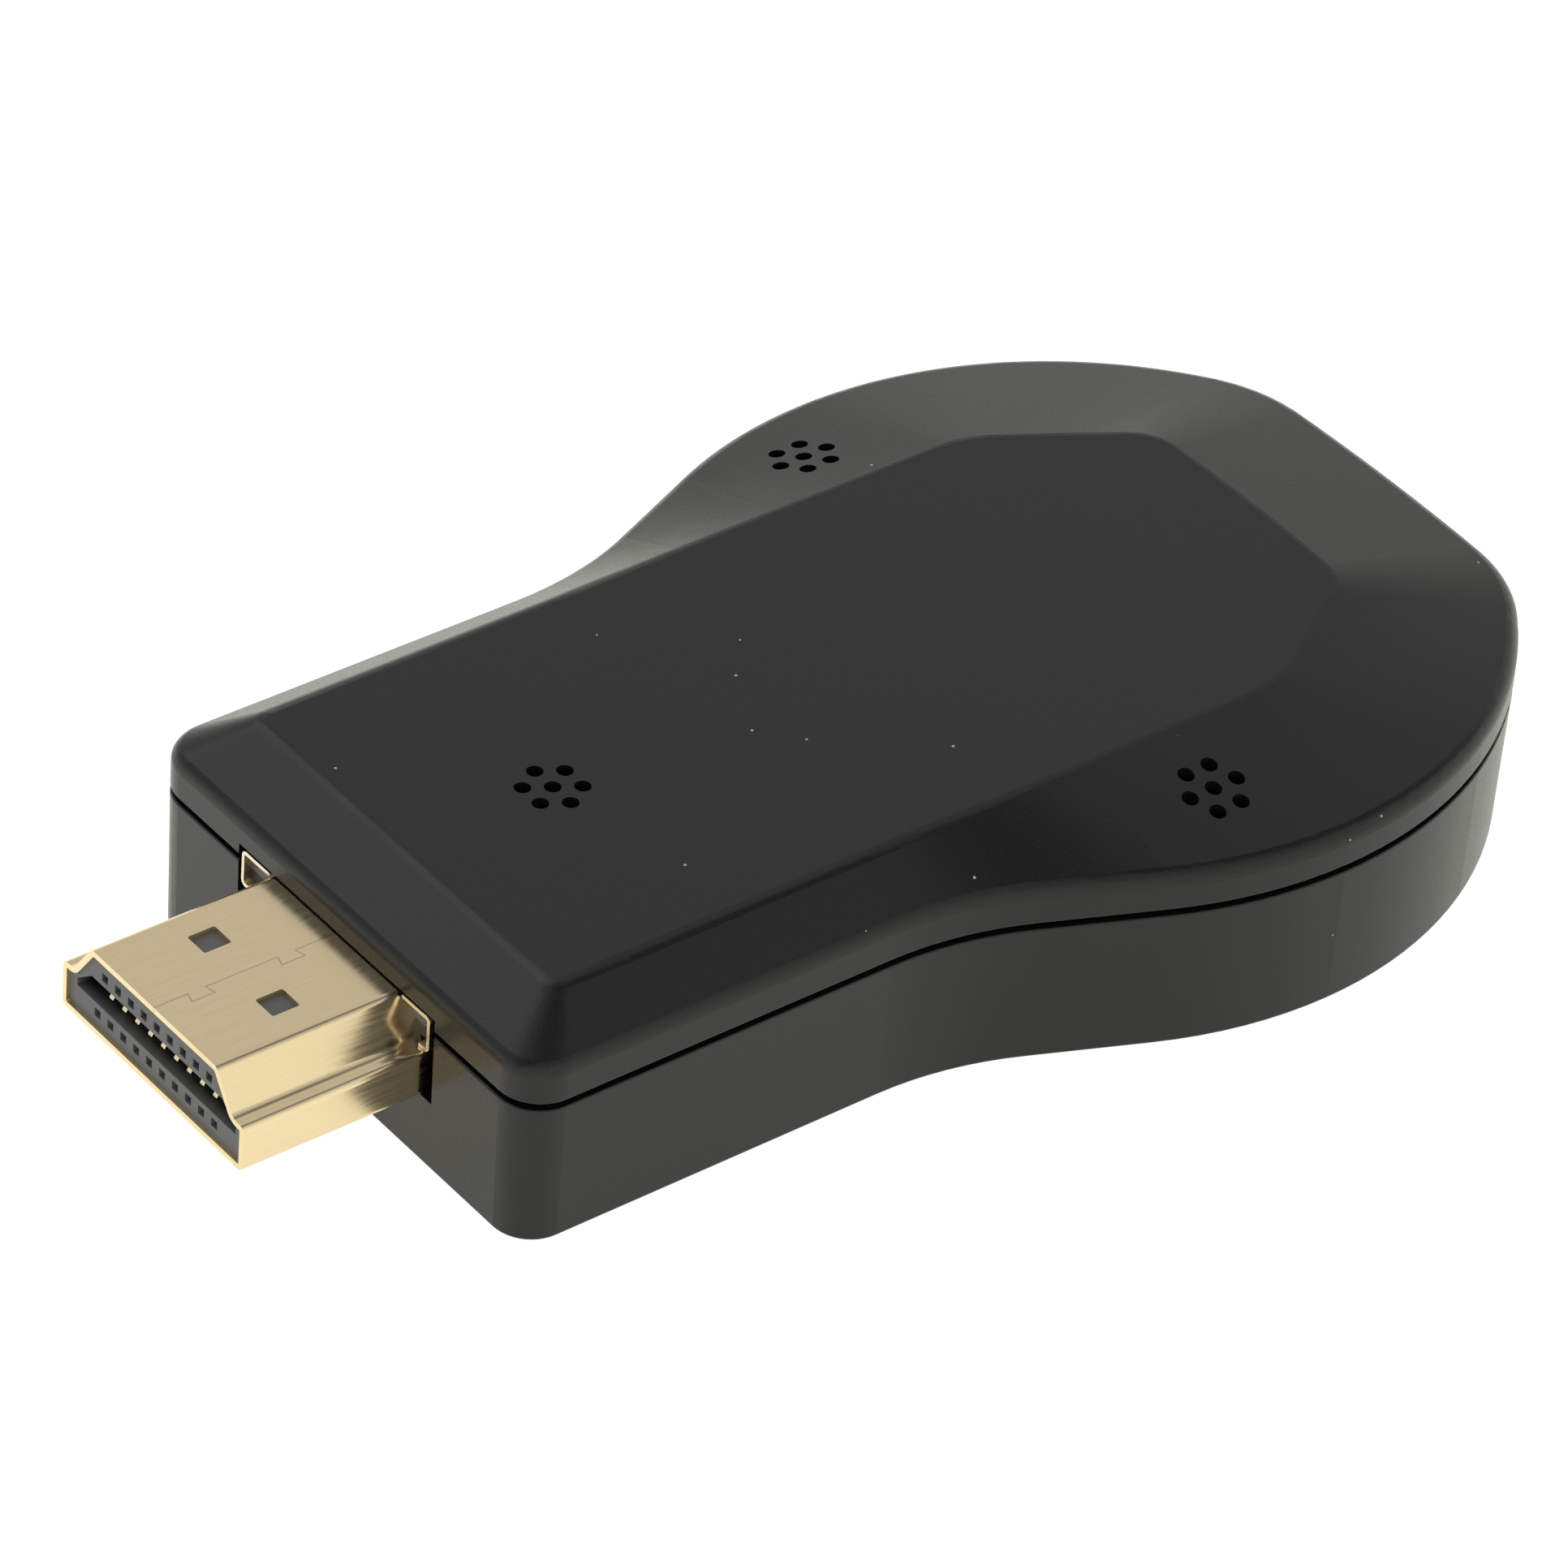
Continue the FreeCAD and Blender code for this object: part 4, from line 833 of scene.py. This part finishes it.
class ADAPTER_OT_screws(bpy.types.Operator):
    """Turn the three board screws with their threads and cross recesses"""

    bl_idname = "adapter.screws"
    bl_label = "Board screws"

    def execute(self, context):
        low, high = (Vector(corner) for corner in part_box("board_screws"))
        head_low, head_r, core_r, thread_r = BOARD_HIGH.z, 1.75 * MM, 0.82 * MM, 1.0 * MM
        pitch, turns = 0.5 * MM, 6
        profile = [(0, low.z), (core_r * 0.6, low.z)]
        for turn in range(turns):
            start = low.z + 0.25 * MM + turn * pitch
            crest, root = start + pitch * 0.3, start + pitch * 0.6
            profile += [(core_r, start), (thread_r, crest), (core_r, root)]
        profile += [(core_r, head_low), (head_r, head_low), (head_r, head_low + 0.75 * MM)]
        reach = 0.45 * MM
        for angle in (math.radians(30), math.radians(60), math.radians(90)):
            across = head_r - reach + reach * math.cos(angle)
            profile.append((across, high.z - reach + reach * math.sin(angle)))
        profile.append((0, high.z))
        shape = bmesh.new()
        for place in self.places():
            line = [shape.verts.new((place.x + x, place.y, z)) for x, z in profile]
            edges = [shape.edges.new(pair) for pair in zip(line, line[1:])]
            bmesh.ops.spin(shape, geom=line + edges, cent=(place.x, place.y, 0), axis=(0, 0, 1),
                           angle=math.tau, steps=32, use_merge=True)
        bmesh.ops.remove_doubles(shape, verts=list(shape.verts), dist=0.001 * MM)
        bmesh.ops.recalc_face_normals(shape, faces=list(shape.faces))
        piece = link_piece(shape, "board_screws_pan_head")
        for long, wide in ((0.6 * MM, 0.2 * MM), (0.2 * MM, 0.6 * MM)):
            shape = bmesh.new()
            for place in self.places():
                near = (place.x - long, place.y - wide, high.z - 0.6 * MM)
                add_box(shape, near, (place.x + long, place.y + wide, high.z + MM))
            combine(piece, link_piece(shape, "recess"), "DIFFERENCE")
        steel = sheet_metal("zinc_plated_carbon_steel", linear("bcbcb6"), 0.34)
        finish_piece(piece, steel, BODY, "board_screws", sharp=40)
        return {"FINISHED"}

    def places(self):
        """Axes of the three screws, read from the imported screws' own heads."""
        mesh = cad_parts["board_screws"].data
        shape = bmesh.new()
        shape.from_mesh(mesh)
        bmesh.ops.remove_doubles(shape, verts=list(shape.verts), dist=0.001 * MM)
        axes = []
        left = set(shape.verts)
        while left:
            group, waiting = set(), [left.pop()]
            while waiting:
                vert = waiting.pop()
                group.add(vert)
                for edge in vert.link_edges:
                    other = edge.other_vert(vert)
                    if other in left:
                        left.discard(other)
                        waiting.append(other)
            xs = [vert.co.x for vert in group]
            ys = [vert.co.y for vert in group]
            axes.append(Vector(((min(xs) + max(xs)) / 2, (min(ys) + max(ys)) / 2, 0)))
        shape.free()
        return sorted(axes, key=lambda axis: axis.y)


class ADAPTER_OT_board(bpy.types.Operator):
    """Dress the board and what stands on it"""

    bl_idname = "adapter.board"
    bl_label = "Board"

    def execute(self, context):
        for name, node, colour in (
            ("green_solder_mask_on_glass_epoxy", "main_board", linear("12402b")),
            ("blue_solder_mask_on_glass_epoxy", "radio_board", linear("173a5c")),
        ):
            dress(solder_mask(name, node, colour), node)
        for name, node, pins in (
            ("epoxy_processor_package", "processor_chip", [(1.0, 1.0)]),
            ("epoxy_memory_packages", "memory_chips", [(0.8, 0.8), (9.2 + 0.8, 0.8)]),
            ("epoxy_radio_package", "radio_chip", [(0.6, 0.6)]),
            ("epoxy_regulator_package", "voltage_regulator", []),
        ):
            dress(epoxy_body(name, node, pins), node)
        for name, node, colour, pitch, bare in (
            ("epoxy_body_tinned_leads", "flash_chip", EPOXY, 1.0, 5.3 * MM),
            ("grey_ferrite_tinned_ends", "line_filters", linear("3b3c40"), 3.0 * MM, 1.7 * MM),
            ("fired_ceramic_tinned_ends", "chip_capacitors", linear("9a7a52"), 1.8 * MM, 0.55 * MM),
            ("thick_film_tinned_ends", "chip_resistors", linear("1e1e20"), 1.8 * MM, 0.55 * MM),
            ("moulded_tantalum_tinned_ends", "bulk_capacitors", linear("c08a2e"), 1.0, 2.7 * MM),
        ):
            dress(chip_body(name, node, colour, pitch, bare), node)
        ferrite = moulding("sintered_ferrite", linear("3c3d40"), 0.6, 0.25 * MM, 0.01 * MM)
        dress(ferrite, "power_inductor")
        lid_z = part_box("crystal")[0][2] + 0.3 * MM
        ceramic, lid = linear("6b6258"), linear("cfc9ba")
        dress(layered("seam_welded_lid_on_ceramic", lid_z, ceramic, lid, 0.25, 1.0), "crystal")
        dress(sheet_metal("stamped_nickel_silver", linear("c2bfb4"), 0.3), "radio_shield")
        bronze = sheet_metal("tin_plated_phosphor_bronze", linear("c8c6bf"), 0.3, (1, 0.1, 1))
        dress(bronze, "antenna")
        silicone = moulding("filled_silicone_rubber", linear("8f9aa8"), 0.75, 0.3 * MM, 0.01 * MM)
        dress(silicone, "thermal_pad")
        anodised = linear("4a4b4d")
        finned = sheet_metal("extruded_black_anodised_aluminium", anodised, 0.45, (1, 0.05, 1))
        dress(finned, "heat_sink")
        return {"FINISHED"}


STEPS = (
    ADAPTER_OT_studio,
    ADAPTER_OT_case,
    ADAPTER_OT_plug,
    ADAPTER_OT_socket,
    ADAPTER_OT_lamp,
    ADAPTER_OT_button,
    ADAPTER_OT_screws,
    ADAPTER_OT_board,
)


class ADAPTER_PT_panel(bpy.types.Panel):
    """Lists the steps that dress the adapter"""

    bl_label = "Adapter"
    bl_idname = "ADAPTER_PT_panel"
    bl_space_type = "VIEW_3D"
    bl_region_type = "UI"
    bl_category = "Adapter"

    def draw(self, context):
        for step in STEPS:
            self.layout.operator(step.bl_idname)


LOOKS = {"adapter_case": CaseLook, "adapter_plug": PlugLook, "adapter_studio": StudioLook}


def register():
    for kind in (*LOOKS.values(), *STEPS, ADAPTER_PT_panel):
        bpy.utils.register_class(kind)
    for name, kind in LOOKS.items():
        setattr(bpy.types.Scene, name, PointerProperty(type=kind))


def unregister():
    for name in LOOKS:
        delattr(bpy.types.Scene, name)
    for kind in (ADAPTER_PT_panel, *reversed(STEPS), *LOOKS.values()):
        bpy.utils.unregister_class(kind)


def main():
    """Build everything."""
    register()
    for step in STEPS:
        group, name = step.bl_idname.split(".")
        getattr(getattr(bpy.ops, group), name)()


if __name__ == "__main__":
    main()
